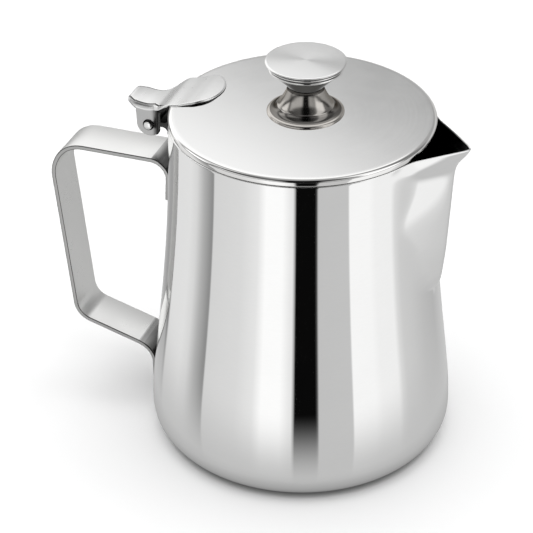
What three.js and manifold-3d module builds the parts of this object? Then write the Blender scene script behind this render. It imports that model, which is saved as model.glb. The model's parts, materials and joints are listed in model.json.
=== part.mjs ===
// A stainless steel teapot: drawn body with a pressed spout, strap handle, hinged lid and turned knob.
// Millimetres, +Z up. The origin is the middle of the flat base, +X is the spout and -X the handle.
import * as THREE from "three";
import { mergeVertices } from "three/addons/utils/BufferGeometryUtils.js";
import Module from "manifold-3d";

const wasm = await Module();
wasm.setup();

// Fits
const seatGap = 0.3; // between pieces that rest on or are welded to each other
const runningGap = 0.3; // round the hinge pin and beside the knuckle
const cutOverrun = 5; // how far a cutting body reaches past what it cuts

// Body
const bodyHeight = 166; // base to rim
const rimRadius = 61.6;
const bellyRadius = 73.25;
const bellyHeight = 13; // where the belly is widest
const baseRadius = 60.4; // the flat that the pot stands on
const bodyWall = 1;
const floorWall = 1.4;
const wallLeanShare = 2.375; // how steeply the wall leaves the belly, against a straight cone
const wallEaseShare = 0.1; // how much of the wall's height the belly takes to turn into it

// Spout
const spoutTailHeight = 88; // the low end of the pressed V
const spoutReach = 18.1; // tip beyond the rim
const tipDrop = 0.6; // tip below the rim
const spoutBlend = 2.6; // width of the hollow where a flank runs into the body
const noseShare = 0.0225; // how blunt the V is
// Heights between the tail and the rim, the reach there, and how widely the flanks spread.
const spoutHeightShares = [0, 0.033, 0.072, 0.15, 0.288, 0.458, 0.627, 0.792, 0.893, 0.941, 1];
const spoutReachShares = [0, 0.1, 0.18, 0.262, 0.365, 0.452, 0.526, 0.588, 0.71, 0.86, 1];
const spoutSpreadShares = [1.8, 1.8, 1.8, 1.8, 1.78, 1.72, 1.62, 1.4, 1.26, 1.12, 0.94];

// Handle strap: places are of the face that is outside at the grip; at the top foot it is on the body
const strapWidth = 22;
const strapThickness = 2.2;
const gripReach = 127.2; // from the pot's axis to the grip, at the top arm
const gripLean = 11.2; // how much closer to the pot the grip's low end is
const topArmDrop = 28.4; // rim to the top arm
const topFootDrop = 50; // rim to the low end of the top foot
const lowArmHeight = 38.4; // where the grip meets the low arm
const lowArmFall = 11.6; // how far the low arm falls to the body
const lowFootHeight = 9; // low end of the low foot
const topFootBend = 11;
const topGripBend = 18;
const lowGripBend = 11;
const lowFootBend = 10;

// Lid: heights are above the rim
const lidLipHeight = 3.2; // outer edge of the lid, roll included
const lidRoll = 1.1;
const lidDome = 0.3;
const lidSheet = 0.9;
const skirtInset = 4; // the skirt stands this far inside the lid's edge, to swing clear of the rim
const skirtDepth = 4; // below the rim
const skirtSheet = 0.8;
const skirtFlange = 4.5;

// Hinge
const pinOut = 11.3; // pin beyond the rim
const pinDrop = 11.5;
const pinRadius = 1.7;
const pinHeadRadius = 2.75;
const pinHeadHeight = 1.6;
const knuckleRadius = 4.2;
const knuckleLength = 14.2;
const bracketSheet = 1.9;
const bracketTopDrop = 5;
const bracketLowDrop = 16.5;
const earRadius = 5.8;
const earSheet = 1.6;
const leafSheet = 1.5;
const leafHeight = 4.4; // top of the leaf's end above the lid
const leafLength = 23.1; // on the lid, from its edge to the leaf's round end
const leafHalfWidth = 15; // on the lid
const leafEndRound = 11;
const tabOut = 11.5; // tab beyond the pin
const tabRise = 0.6; // tab's top above the rim
const tabHalfWidth = 6.5;
const tabRound = 3;
const dipOut = 12.4; // beyond the rim, where the leaf dips behind the lid
const dipDrop = 1.2; // top of the leaf below the rim there

// Knob: heights are above its own seat on the lid
const knobOffset = 1.5; // towards the spout
const knobHeight = 26.6;
const knobBaseRadius = 17.8;
const knobBaseHeight = 13;
const knobNeckRadius = 8.3;
const knobCapRadius = 18.6;
const studRadius = 2.5;
const studTop = 20;
const washerRadius = 6.5;
const washerThickness = 1;
const nutSides = 6;
const nutAcrossFlats = 8;
const nutHeight = 4;
const studProud = 0.8; // below the nut

// Outlines of the knob: how far each point spreads from the neck's radius to the piece's own, and
// its height.
const knobBaseShares = [
  [0.95, 0], [1, 0.04], [1, 0.1], [0.94, 0.13], [0.84, 0.18], [0.63, 0.32], [0.6, 0.34],
  [0.57, 0.36], [0.38, 0.5], [0.2, 0.68], [0.07, 0.87], [0, 1],
];
const knobCapShares = [
  [-0.06, 0], [-0.06, 0.05], [0, 0.07], [0.04, 0.13], [0.2, 0.27], [0.5, 0.46], [0.92, 0.69], [0.96, 0.71],
  [0.985, 0.75], [0.985, 0.81], [0.955, 0.84], [0.955, 0.86], [1, 0.89], [1, 0.96], [0.96, 1],
];

// Fineness
const bodyColumns = 72;
const columnCrowding = 0.65; // draws the body's columns together at the spout
const lidColumns = 64;
const knobColumns = 40;
const pinColumns = 20;
const arcSteps = 6;
const cornerSteps = 5;
const bellySteps = 5; // between the belly and the spout's tail
const domeSteps = 4;

const lidEdgeTop = seatGap + lidLipHeight;
const lidTop = lidEdgeTop + lidDome;
const pinReach = rimRadius + pinOut;
const tabReach = pinReach + tabOut;
const dipReach = rimRadius + dipOut;
const leafEnd = rimRadius - leafLength;
const earOutside = knuckleLength / 2 + runningGap + earSheet;

function steel(color, roughness) {
  return new THREE.MeshStandardMaterial({ color, roughness, metalness: 1 });
}

const mirrorSteel = steel(0xe4e4e2, 0.06);
const satinSteel = steel(0xd2d2d0, 0.32);
const brushedSteel = steel(0xdcdcda, 0.28);
const darkNickel = steel(0x8d8a85, 0.12);
const plainSteel = steel(0xa8a8a6, 0.4);

function meshOf(name, geometry, material) {
  const mesh = new THREE.Mesh(geometry, material);
  mesh.name = name;
  return mesh;
}

function solidOf(geometry) {
  const bare = geometry.clone();
  bare.deleteAttribute("normal");
  bare.deleteAttribute("uv");
  const merged = mergeVertices(bare);
  return new wasm.Manifold(new wasm.Mesh({
    numProp: 3,
    vertProperties: new Float32Array(merged.attributes.position.array),
    triVerts: new Uint32Array(merged.index.array),
  }));
}

function geometryOf(solid) {
  const mesh = solid.getMesh();
  const geometry = new THREE.BufferGeometry();
  geometry.setAttribute("position", new THREE.BufferAttribute(mesh.vertProperties, mesh.numProp));
  geometry.setIndex(new THREE.BufferAttribute(mesh.triVerts, 1));
  const flat = geometry.toNonIndexed();
  flat.computeVertexNormals();
  return flat;
}

// A profile of [radius, height] pairs turned round the Z axis.
function turned(profile, columns) {
  const points = profile.map(([radius, height]) => new THREE.Vector2(radius, height));
  return new THREE.LatheGeometry(points, columns).rotateX(Math.PI / 2);
}

// An outline drawn in X and Z, as thick as its width and centred on Y.
function sideCut(shape, width) {
  const geometry = new THREE.ExtrudeGeometry(shape, {
    depth: width, bevelEnabled: false, curveSegments: arcSteps * 2,
  });
  return geometry.rotateX(Math.PI / 2).translate(0, width / 2, 0);
}

function readTable(places, values, place) {
  const last = places.length - 1;
  if (place <= places[0]) return values[0];
  if (place >= places[last]) return values[last];
  const next = places.findIndex((entry) => entry >= place);
  const part = (place - places[next - 1]) / (places[next] - places[next - 1]);
  return values[next - 1] + part * (values[next] - values[next - 1]);
}

// How much of the belly's extra radius is left at a share of the way up to the rim.
function taper(up) {
  const eased = (place) => place - wallEaseShare * (1 - Math.exp(-place / wallEaseShare));
  return 1 - wallLeanShare * eased(up) - (1 - wallLeanShare * eased(1)) * up * up;
}

// The body's outer radius, without the spout.
function bodyRadius(height) {
  if (height <= 0) return baseRadius;
  if (height < bellyHeight) {
    const below = 1 - height / bellyHeight;
    return baseRadius + (bellyRadius - baseRadius) * Math.sqrt(1 - below * below);
  }
  const up = Math.min((height - bellyHeight) / (bodyHeight - bellyHeight), 1);
  return rimRadius + (bellyRadius - rimRadius) * taper(up);
}

// How far the pressed spout stands out of the round body: two flanks that meet in a blunt nose.
// Each flank ends where it comes closest to the pot's axis, inside the body.
function spoutPress(angle, height) {
  const up = (height - spoutTailHeight) / (bodyHeight - spoutTailHeight);
  if (up <= 0) return 0;
  const body = bodyRadius(height);
  const reach = spoutReach * readTable(spoutHeightShares, spoutReachShares, up);
  const spread = readTable(spoutHeightShares, spoutSpreadShares, up);
  if (reach === 0 || Math.abs(angle) > Math.atan(1 / spread)) return 0;
  const apex = (body + reach) * (noseShare + spread) / spread;
  const side = Math.hypot(Math.sin(angle), noseShare);
  const stand = spread * apex / (side + spread * Math.cos(angle)) - body;
  const closest = spread * apex / Math.hypot(1, spread);
  const blend = Math.min(spoutBlend, reach, body - closest);
  if (stand <= -blend) return 0;
  return stand >= blend ? stand : (stand + blend) ** 2 / (4 * blend);
}

function bodyProfile() {
  const corner = [];
  for (let i = 0; i <= cornerSteps; i += 1) {
    const height = bellyHeight * (1 - Math.cos((i / cornerSteps) * Math.PI / 2));
    corner.push([bodyRadius(height), height]);
  }
  const wall = [];
  for (let i = 1; i <= bellySteps; i += 1) {
    const height = bellyHeight + (spoutTailHeight - bellyHeight) * (i / bellySteps) ** 2;
    wall.push([bodyRadius(height), height]);
  }
  for (const share of spoutHeightShares.slice(1)) {
    const height = spoutTailHeight + (bodyHeight - spoutTailHeight) * share;
    wall.push([bodyRadius(height), height]);
  }
  const outer = [...corner, ...wall];
  const inner = outer
    .filter(([, height]) => height > floorWall)
    .map(([radius, height]) => [radius - bodyWall, height]);
  const floorEdge = [bodyRadius(floorWall) - bodyWall, floorWall];
  return [[0, 0], ...outer, ...inner.reverse(), floorEdge, [0, floorWall]];
}

function bodyShell() {
  const geometry = turned(bodyProfile(), bodyColumns);
  const position = geometry.attributes.position;
  for (let i = 0; i < position.count; i += 1) {
    const even = Math.atan2(position.getY(i), position.getX(i));
    const angle = even - columnCrowding * Math.sin(even);
    const height = position.getZ(i);
    const round = Math.hypot(position.getX(i), position.getY(i));
    const press = round > 0 ? spoutPress(angle, height) : 0;
    const radius = round + press;
    const drop = height >= bodyHeight ? tipDrop * (press / spoutReach) ** 2 : 0;
    position.setXYZ(i, radius * Math.cos(angle), radius * Math.sin(angle), height - drop);
  }
  return meshOf("body_shell", geometry, mirrorSteel);
}

// The side view of a strip bent at each inner corner. The corners are on its outer face, in the
// order of travel, and its thickness lies to the left of that travel.
function bentStrip(corners, bends, thickness) {
  const face = [];
  corners.forEach((corner, i) => {
    const before = corners[Math.max(i - 1, 0)];
    const after = corners[Math.min(i + 1, corners.length - 1)];
    if (!bends[i]) {
      const along = after.clone().sub(before).normalize();
      face.push({ place: corner, left: new THREE.Vector2(-along.y, along.x) });
      return;
    }
    const inward = corner.clone().sub(before).normalize();
    const outward = after.clone().sub(corner).normalize();
    const turn = Math.atan2(inward.cross(outward), inward.dot(outward));
    const side = Math.sign(turn);
    const setback = bends[i] * Math.tan(Math.abs(turn) / 2);
    const start = corner.clone().addScaledVector(inward, -setback);
    const left = new THREE.Vector2(-inward.y, inward.x);
    const centre = start.clone().addScaledVector(left, side * bends[i]);
    for (let k = 0; k <= arcSteps; k += 1) {
      const normal = left.clone().rotateAround(new THREE.Vector2(), turn * (k / arcSteps));
      face.push({ place: centre.clone().addScaledVector(normal, -side * bends[i]), left: normal });
    }
  });
  const outer = face.map(({ place }) => place);
  const inner = face.map(({ place, left }) => place.clone().addScaledVector(left, thickness));
  return new THREE.Shape([...outer, ...inner.reverse()]);
}

function handleStrap() {
  const topArm = bodyHeight - topArmDrop;
  const footReach = (height) => bodyRadius(height) + seatGap;
  const topFootEnd = bodyHeight - topFootDrop;
  const lowFootReach = footReach(bellyHeight) + strapThickness;
  const corners = [
    new THREE.Vector2(-footReach(topFootEnd), topFootEnd),
    new THREE.Vector2(-footReach(topArm), topArm),
    new THREE.Vector2(-gripReach, topArm),
    new THREE.Vector2(-gripReach + gripLean, lowArmHeight),
    new THREE.Vector2(-lowFootReach, lowArmHeight - lowArmFall),
    new THREE.Vector2(-lowFootReach, lowFootHeight),
  ];
  const bends = [0, topFootBend, topGripBend, lowGripBend, lowFootBend, 0];
  const shape = bentStrip(corners, bends, strapThickness);
  return meshOf("handle_strap", sideCut(shape, strapWidth), satinSteel);
}

function roundRod(radius, length) {
  return solidOf(new THREE.CylinderGeometry(radius, radius, length, pinColumns));
}

// Welded to the body's back: a pad on the wall, a tongue and the knuckle that the pin turns in.
function hingeBracket() {
  const topHeight = bodyHeight - bracketTopDrop;
  const lowHeight = bodyHeight - bracketLowDrop;
  const topReach = bodyRadius(topHeight) + seatGap;
  const lowReach = bodyRadius(lowHeight) + seatGap;
  const pad = new THREE.Shape([
    new THREE.Vector2(-topReach, topHeight),
    new THREE.Vector2(-lowReach, lowHeight),
    new THREE.Vector2(-lowReach - bracketSheet, lowHeight),
    new THREE.Vector2(-topReach - bracketSheet, topHeight),
  ].reverse());
  const pinHeight = bodyHeight - pinDrop;
  const tongue = new THREE.Shape([
    new THREE.Vector2(-pinReach, pinHeight - bracketSheet / 2),
    new THREE.Vector2(-topReach - bracketSheet / 2, pinHeight - bracketSheet / 2),
    new THREE.Vector2(-topReach - bracketSheet / 2, pinHeight + bracketSheet / 2),
    new THREE.Vector2(-pinReach, pinHeight + bracketSheet / 2),
  ]);
  const knuckle = roundRod(knuckleRadius, knuckleLength).translate([-pinReach, 0, pinHeight]);
  const bore = roundRod(pinRadius + runningGap, knuckleLength + cutOverrun)
    .translate([-pinReach, 0, pinHeight]);
  const bracket = solidOf(sideCut(pad, knuckleLength))
    .add(solidOf(sideCut(tongue, knuckleLength)))
    .add(knuckle)
    .subtract(bore);
  return meshOf("hinge_bracket", geometryOf(bracket), plainSteel);
}

// The lid's upper face above the rim, at a distance from the pot's axis.
function lidHeight(radius) {
  const part = Math.min(radius / (rimRadius - lidRoll), 1);
  return lidTop - lidDome * part * part;
}

function lidPlate() {
  const outer = [];
  for (let i = 0; i <= domeSteps; i += 1) {
    const radius = (rimRadius - lidRoll) * (i / domeSteps);
    outer.push([radius, lidHeight(radius)]);
  }
  for (let i = 1; i <= domeSteps; i += 1) {
    const turn = (i / domeSteps) * Math.PI / 2;
    outer.push([
      rimRadius - lidRoll + lidRoll * Math.sin(turn),
      lidEdgeTop - lidRoll + lidRoll * Math.cos(turn),
    ]);
  }
  const inner = [
    [rimRadius, seatGap],
    [rimRadius - lidSheet, seatGap],
    [rimRadius - lidSheet, lidEdgeTop - lidRoll],
    [rimRadius - lidRoll, lidEdgeTop - lidSheet],
    [0, lidTop - lidSheet],
  ];
  const sheet = solidOf(turned([...outer, ...inner].reverse(), lidColumns));
  const hole = solidOf(new THREE.CylinderGeometry(
    studRadius + seatGap, studRadius + seatGap, lidTop + cutOverrun, pinColumns,
  ).rotateX(Math.PI / 2)).translate([knobOffset, 0, lidTop]);
  return meshOf("lid_plate", geometryOf(sheet.subtract(hole)), mirrorSteel);
}

function lidSkirt() {
  const outer = rimRadius - skirtInset;
  const top = lidHeight(outer) - lidSheet - seatGap;
  const profile = [
    [outer - skirtSheet, -skirtDepth],
    [outer, -skirtDepth],
    [outer, top],
    [outer - skirtSheet - skirtFlange, top],
    [outer - skirtSheet - skirtFlange, top - skirtSheet],
    [outer - skirtSheet, top - skirtSheet],
    [outer - skirtSheet, -skirtDepth],
  ];
  return meshOf("lid_skirt", turned(profile, lidColumns), satinSteel);
}

// The leaf's upper face from the tab over the dip and on to the lid, seen from the side.
function leafUpper() {
  const onLid = lidTop + seatGap;
  const lidSide = rimRadius + seatGap;
  const tabMiddle = (tabRise - dipDrop) / 2 - leafSheet / 4;
  return new THREE.SplineCurve([
    new THREE.Vector2(-tabReach, tabRise),
    new THREE.Vector2(-(tabReach + dipReach) / 2, tabMiddle),
    new THREE.Vector2(-dipReach, -dipDrop),
    new THREE.Vector2(-(dipReach + lidSide) / 2, leafSheet / 2 - dipDrop),
    new THREE.Vector2(-lidSide, onLid + leafSheet),
    new THREE.Vector2(-(lidSide + leafEnd) / 2, onLid + (leafSheet + leafHeight) / 2),
    new THREE.Vector2(-leafEnd, onLid + leafHeight),
  ]).getPoints(arcSteps * 3);
}

// The lower face lies on the lid and hooks over the lid's edge; beyond that the leaf is a sheet.
function leafSide() {
  const onLid = lidTop + seatGap;
  const lidSide = rimRadius + seatGap;
  const upper = leafUpper();
  const sheet = upper
    .filter(({ x }) => x < -lidSide - leafSheet)
    .map(({ x, y }) => new THREE.Vector2(x, y - leafSheet));
  const lower = [
    ...sheet,
    new THREE.Vector2(-lidSide, onLid - leafSheet),
    new THREE.Vector2(-lidSide, onLid),
    new THREE.Vector2(-leafEnd, onLid),
  ];
  return new THREE.Shape([...upper.reverse(), ...lower]);
}

// The leaf's outline from above: a round end on the lid, drawn in to the ears, and a narrower tab.
function leafPlan() {
  const middle = -leafEnd - leafEndRound;
  const side = [
    new THREE.Vector2(-rimRadius, leafHalfWidth - leafSheet / 2),
    new THREE.Vector2(-pinReach + earRadius, earOutside),
    new THREE.Vector2(-pinReach - earRadius, earOutside),
    new THREE.Vector2(-tabReach + tabRound, tabHalfWidth),
    new THREE.Vector2(-tabReach, tabHalfWidth - tabRound),
  ];
  const end = new THREE.EllipseCurve(
    middle, 0, leafEndRound, leafHalfWidth, -Math.PI / 2, Math.PI / 2,
  ).getPoints(arcSteps * 2);
  const mirrored = side.map(({ x, y }) => new THREE.Vector2(x, -y)).reverse();
  return new THREE.Shape([...end, ...side, ...mirrored]);
}

// One ear: a round end about the pin, straight sides up, and its top fitted to the leaf.
function leafEar() {
  const blank = new THREE.Shape();
  blank.absarc(-pinReach, -pinDrop, earRadius, Math.PI, 2 * Math.PI, false);
  blank.lineTo(-pinReach + earRadius, tabRise);
  blank.lineTo(-pinReach - earRadius, tabRise);
  const low = -pinDrop - earRadius - cutOverrun;
  const under = new THREE.Shape([
    ...leafUpper().map(({ x, y }) => new THREE.Vector2(x, y - leafSheet / 2)).reverse(),
    new THREE.Vector2(-tabReach, low),
    new THREE.Vector2(-leafEnd, low),
  ]);
  return solidOf(sideCut(blank, earSheet)).intersect(solidOf(sideCut(under, earSheet)));
}

function hingeLeaf() {
  const plan = new THREE.ExtrudeGeometry(leafPlan(), {
    depth: lidTop + leafHeight + leafSheet + pinDrop + cutOverrun, bevelEnabled: false,
  }).translate(0, 0, -pinDrop);
  const plate = solidOf(sideCut(leafSide(), 2 * (leafHalfWidth + cutOverrun)));
  const ear = leafEar();
  const earPlace = earOutside - earSheet / 2;
  const bore = roundRod(pinRadius + runningGap, 2 * (earOutside + cutOverrun))
    .translate([-pinReach, 0, -pinDrop]);
  const leaf = plate.intersect(solidOf(plan))
    .add(ear.translate([0, earPlace, 0]))
    .add(ear.translate([0, -earPlace, 0]))
    .subtract(bore);
  return meshOf("hinge_leaf", geometryOf(leaf), satinSteel);
}

// The rivet that the lid turns on: a shank through both ears and the knuckle, with two round heads.
function hingePin() {
  const dome = [];
  for (let i = 0; i <= domeSteps; i += 1) {
    const turn = (i / domeSteps) * Math.PI / 2;
    dome.push([pinHeadRadius * Math.cos(turn), earOutside + pinHeadHeight * Math.sin(turn)]);
  }
  const end = [[pinRadius, earOutside], ...dome];
  const start = end.map(([radius, along]) => [radius, -along]).reverse();
  const points = [...start, ...end].map(([radius, along]) => new THREE.Vector2(radius, along));
  const mesh = meshOf("hinge_pin", new THREE.LatheGeometry(points, pinColumns), mirrorSteel);
  mesh.position.set(-pinReach, 0, -pinDrop);
  return mesh;
}

// A knob piece's outline from shares of its height and of how far it spreads beyond the neck.
function knobOutline(shares, spread, height) {
  return shares.map(([out, up]) => [knobNeckRadius + out * spread, up * height]);
}

function knobBase() {
  const bore = studRadius + seatGap;
  const outline = knobOutline(knobBaseShares, knobBaseRadius - knobNeckRadius, knobBaseHeight);
  const profile = [[bore, 0], ...outline, [bore, knobBaseHeight], [bore, 0]];
  return meshOf("knob_base", turned(profile, knobColumns), darkNickel);
}

function knobCap() {
  const bore = studRadius + seatGap;
  const low = knobBaseHeight + seatGap;
  const height = knobHeight - low;
  const boreTop = studTop + seatGap - low;
  const outline = knobOutline(knobCapShares, knobCapRadius - knobNeckRadius, height);
  const profile = [[0, boreTop], [bore, boreTop], [bore, 0], ...outline, [0, height]];
  const mesh = meshOf("knob_cap", turned(profile, knobColumns), brushedSteel);
  mesh.position.z = low;
  return mesh;
}

// What holds the knob: a stud up through the lid, drawn tight by a washer and a nut on the lid's inside.
function knobFixing() {
  const hole = studRadius + seatGap;
  const washerTop = -lidSheet - 2 * seatGap;
  const washer = turned([
    [hole, washerTop - washerThickness],
    [washerRadius, washerTop - washerThickness],
    [washerRadius, washerTop],
    [hole, washerTop],
    [hole, washerTop - washerThickness],
  ], knobColumns);
  const nutCorner = new THREE.Vector2(nutAcrossFlats / Math.sqrt(3), 0);
  const hexagon = new THREE.Shape(Array.from({ length: nutSides }, (_, i) => (
    nutCorner.clone().rotateAround(new THREE.Vector2(), (i / nutSides) * 2 * Math.PI)
  )));
  hexagon.holes.push(new THREE.Path().absarc(0, 0, hole, 0, 2 * Math.PI, true));
  const nut = meshOf("knob_nut", new THREE.ExtrudeGeometry(hexagon, {
    depth: nutHeight, bevelEnabled: false, curveSegments: arcSteps * 2,
  }), plainSteel);
  nut.position.z = washerTop - washerThickness - nutHeight;
  const studLow = nut.position.z - studProud;
  const stud = meshOf("knob_stud", new THREE.CylinderGeometry(
    studRadius, studRadius, studTop - studLow, pinColumns,
  ).rotateX(Math.PI / 2), plainSteel);
  stud.position.z = (studTop + studLow) / 2;
  return [meshOf("knob_washer", washer, plainSteel), nut, stud];
}

const pot = new THREE.Group();
pot.add(bodyShell(), handleStrap(), hingeBracket());

const lid = new THREE.Group();
lid.position.z = bodyHeight;
lid.add(lidPlate(), lidSkirt(), hingeLeaf(), hingePin());

const knob = new THREE.Group();
knob.position.set(knobOffset, 0, lidTop + seatGap);
knob.add(knobBase(), knobCap(), ...knobFixing());
lid.add(knob);

const teapot = new THREE.Group();
teapot.add(pot, lid);

export default teapot;
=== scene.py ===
"""Looks of a stainless steel teapot: drawn body, strap handle, hinged lid and turned knob.

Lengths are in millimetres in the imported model's frame: +Z up, +X the spout, -X the handle.
"""

import json
import logging
import math
from abc import ABC, abstractmethod
from dataclasses import dataclass, field
from enum import Enum
from typing import Callable, Iterable, Sequence

import bmesh
import bpy
import numpy as np
from mathutils import Matrix, Vector


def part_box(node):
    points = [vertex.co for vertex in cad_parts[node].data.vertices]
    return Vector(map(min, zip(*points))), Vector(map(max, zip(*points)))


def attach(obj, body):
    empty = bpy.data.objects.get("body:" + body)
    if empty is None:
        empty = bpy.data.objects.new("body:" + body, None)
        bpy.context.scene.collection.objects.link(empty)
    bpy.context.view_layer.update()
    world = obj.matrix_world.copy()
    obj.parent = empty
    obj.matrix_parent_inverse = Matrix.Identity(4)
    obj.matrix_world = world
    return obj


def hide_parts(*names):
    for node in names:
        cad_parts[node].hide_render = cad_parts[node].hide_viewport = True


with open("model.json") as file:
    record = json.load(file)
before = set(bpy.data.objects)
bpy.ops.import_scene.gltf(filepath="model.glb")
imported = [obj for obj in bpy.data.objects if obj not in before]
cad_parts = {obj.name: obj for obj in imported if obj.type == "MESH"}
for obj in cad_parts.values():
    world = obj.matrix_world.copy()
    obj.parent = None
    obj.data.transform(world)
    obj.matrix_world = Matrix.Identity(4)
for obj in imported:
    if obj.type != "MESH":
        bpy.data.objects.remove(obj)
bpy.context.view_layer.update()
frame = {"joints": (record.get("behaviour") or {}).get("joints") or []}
LOG = logging.getLogger("teapot")
MM = 0.001
WELD = 0.002

Point = tuple[float, float]
Place = tuple[float, float, float]


class Body(Enum):
    """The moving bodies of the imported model."""

    POT = "pot"
    LID = "lid"


class Slot(Enum):
    """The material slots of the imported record."""

    MIRROR = "mirror_steel"
    SATIN = "satin_steel"
    BRUSHED = "brushed_steel"
    NICKEL = "dark_nickel"
    PLAIN = "plain_steel"


class Grain(Enum):
    """How a finish was worked into the steel."""

    POLISHED = "polished"
    ALONG = "along"
    TURNED = "turned"


# Shared sizes


@dataclass(frozen=True)
class Sizes:
    """Sizes that several pieces share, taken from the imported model.

    Attributes:
        rim_radius: Radius of the body's rim and of the lid.
        belly_radius: Widest radius of the body.
        rim_height: Height of the rim above the table.
        spout_tip: Reach of the spout's tip from the axis.
        pin_reach: Distance from the axis to the hinge pin.
        pin_height: Height of the hinge pin.
        seat_gap: Gap between pieces that rest on each other.
    """

    rim_radius: float
    belly_radius: float
    rim_height: float
    spout_tip: float
    pin_reach: float
    pin_height: float
    seat_gap: float = 0.3

    @classmethod
    def from_frame(cls) -> "Sizes":
        """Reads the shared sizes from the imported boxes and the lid's joint.

        Returns:
            The shared sizes in millimetres.
        """
        body_low, body_high = node_box("body_shell")
        lid_low, lid_high = node_box("lid_plate")
        pin = Vector(frame["joints"][0]["pos_m"]) / MM
        return cls(
            rim_radius=lid_high.x,
            belly_radius=-body_low.x,
            rim_height=lid_low.z - cls.seat_gap,
            spout_tip=body_high.x,
            pin_reach=-pin.x,
            pin_height=pin.z,
        )


def node_box(node: str) -> tuple[Vector, Vector]:
    """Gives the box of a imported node.

    Args:
        node: Name of the node.

    Returns:
        Its lowest and highest corner in millimetres.
    """
    low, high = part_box(node)
    return low / MM, high / MM


# Curves


def spline_through(places: Sequence[float], values: Sequence[float]) -> Callable[[np.ndarray], np.ndarray]:
    """Fits a natural cubic spline.

    Args:
        places: Rising places of the points.
        values: Value at each place.

    Returns:
        A function that reads the spline, held at its ends.
    """
    at, value = np.asarray(places, float), np.asarray(values, float)
    step = np.diff(at)
    slope = np.diff(value) / step
    matrix = np.eye(len(at))
    right = np.zeros(len(at))
    for i in range(1, len(at) - 1):
        matrix[i, i - 1:i + 2] = step[i - 1], 2 * (step[i - 1] + step[i]), step[i]
        right[i] = 6 * (slope[i] - slope[i - 1])
    bend = np.linalg.solve(matrix, right)

    def read(place: np.ndarray) -> np.ndarray:
        """Reads the spline at one or more places.

        Args:
            place: Where to read it.

        Returns:
            Its value there.
        """
        place = np.clip(place, at[0], at[-1])
        i = np.clip(np.searchsorted(at, place) - 1, 0, len(step) - 1)
        after, before = at[i + 1] - place, place - at[i]
        cubic = (bend[i] * after**3 + bend[i + 1] * before**3) / (6 * step[i])
        low = (value[i] / step[i] - bend[i] * step[i] / 6) * after
        high = (value[i + 1] / step[i] - bend[i + 1] * step[i] / 6) * before
        return cubic + low + high

    return read


def curve_through(places: Sequence[float], values: Sequence[float]) -> Callable[[np.ndarray], np.ndarray]:
    """Fits a smooth curve that never swings past its points.

    Args:
        places: Rising places of the points.
        values: Value at each place.

    Returns:
        A function that reads the curve, held at its ends.
    """
    at, value = np.asarray(places, float), np.asarray(values, float)
    step = np.diff(at)
    rise = np.diff(value) / step
    slope = np.array([rise[0], *np.zeros(len(at) - 2), rise[-1]])
    for i in range(1, len(at) - 1):
        if rise[i - 1] * rise[i] > 0:
            slope[i] = 2 * rise[i - 1] * rise[i] / (rise[i - 1] + rise[i])

    def read(place: np.ndarray) -> np.ndarray:
        """Reads the curve at one or more places.

        Args:
            place: Where to read it.

        Returns:
            Its value there.
        """
        place = np.clip(place, at[0], at[-1])
        i = np.clip(np.searchsorted(at, place) - 1, 0, len(step) - 1)
        part = (place - at[i]) / step[i]
        left = value[i] * (1 + 2 * part) + slope[i] * step[i] * part
        right = value[i + 1] * (3 - 2 * part) - slope[i + 1] * step[i] * (1 - part)
        return left * (1 - part) ** 2 + right * part**2

    return read


def spaced(points: Sequence[Point], step: float) -> list[Point]:
    """Adds points to a chain until none of its pieces is longer than a step.

    Args:
        points: The chain.
        step: Longest piece allowed.

    Returns:
        The chain with the added points.
    """
    made = [points[0]]
    for before, after in zip(points, points[1:]):
        count = max(math.ceil(math.dist(before, after) / step), 1)
        for k in range(1, count + 1):
            made.append(tuple(np.array(before) + (np.array(after) - np.array(before)) * k / count))
    return made


def smooth_step(value: np.ndarray, start: float, end: float) -> np.ndarray:
    """Rises smoothly from 0 at the start to 1 at the end."""
    part = np.clip((np.asarray(value, float) - start) / (end - start), 0, 1)
    return part * part * (3 - 2 * part)


def rounded(corners: Sequence[Point], radii: Sequence[float], steps: int = 5) -> list[Point]:
    """Rounds the corners of an open outline.

    Args:
        corners: Corners in order.
        radii: Radius at each corner; 0 leaves it sharp. The ends stay as they are.
        steps: Steps in each arc.

    Returns:
        The outline's points.
    """
    points = [Vector(corner) for corner in corners]
    made: list[Point] = []
    for i, corner in enumerate(points):
        if not radii[i] or i in (0, len(points) - 1):
            made.append(tuple(corner))
            continue
        inward = (corner - points[i - 1]).normalized()
        outward = (points[i + 1] - corner).normalized()
        turn = math.atan2(inward.x * outward.y - inward.y * outward.x, inward.dot(outward))
        setback = radii[i] * math.tan(abs(turn) / 2)
        side = Vector((-inward.y, inward.x)) * math.copysign(1, turn)
        centre = corner - inward * setback + side * radii[i]
        for k in range(steps + 1):
            spoke = Matrix.Rotation(turn * k / steps, 2) @ -side
            made.append(tuple(centre + spoke * radii[i]))
    return made


# Meshes


def new_piece(name: str, mesh: bpy.types.Mesh) -> bpy.types.Object:
    """Puts a mesh in the scene.

    Args:
        name: Name of the piece.
        mesh: Its mesh.

    Returns:
        The object.
    """
    piece = bpy.data.objects.new(name, mesh)
    mesh.name = name
    bpy.context.scene.collection.objects.link(piece)
    return piece


def polygon_mesh(name: str, points: np.ndarray, faces: Iterable[Sequence[int]]) -> bpy.types.Mesh:
    """Makes a mesh from points in millimetres.

    Args:
        name: Name of the mesh.
        points: Rows of X, Y and Z.
        faces: Vertex numbers of each face.

    Returns:
        The mesh, in metres.
    """
    mesh = bpy.data.meshes.new(name)
    mesh.from_pydata((np.asarray(points, float) * MM).tolist(), [], list(faces))
    mesh.update()
    return mesh


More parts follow.
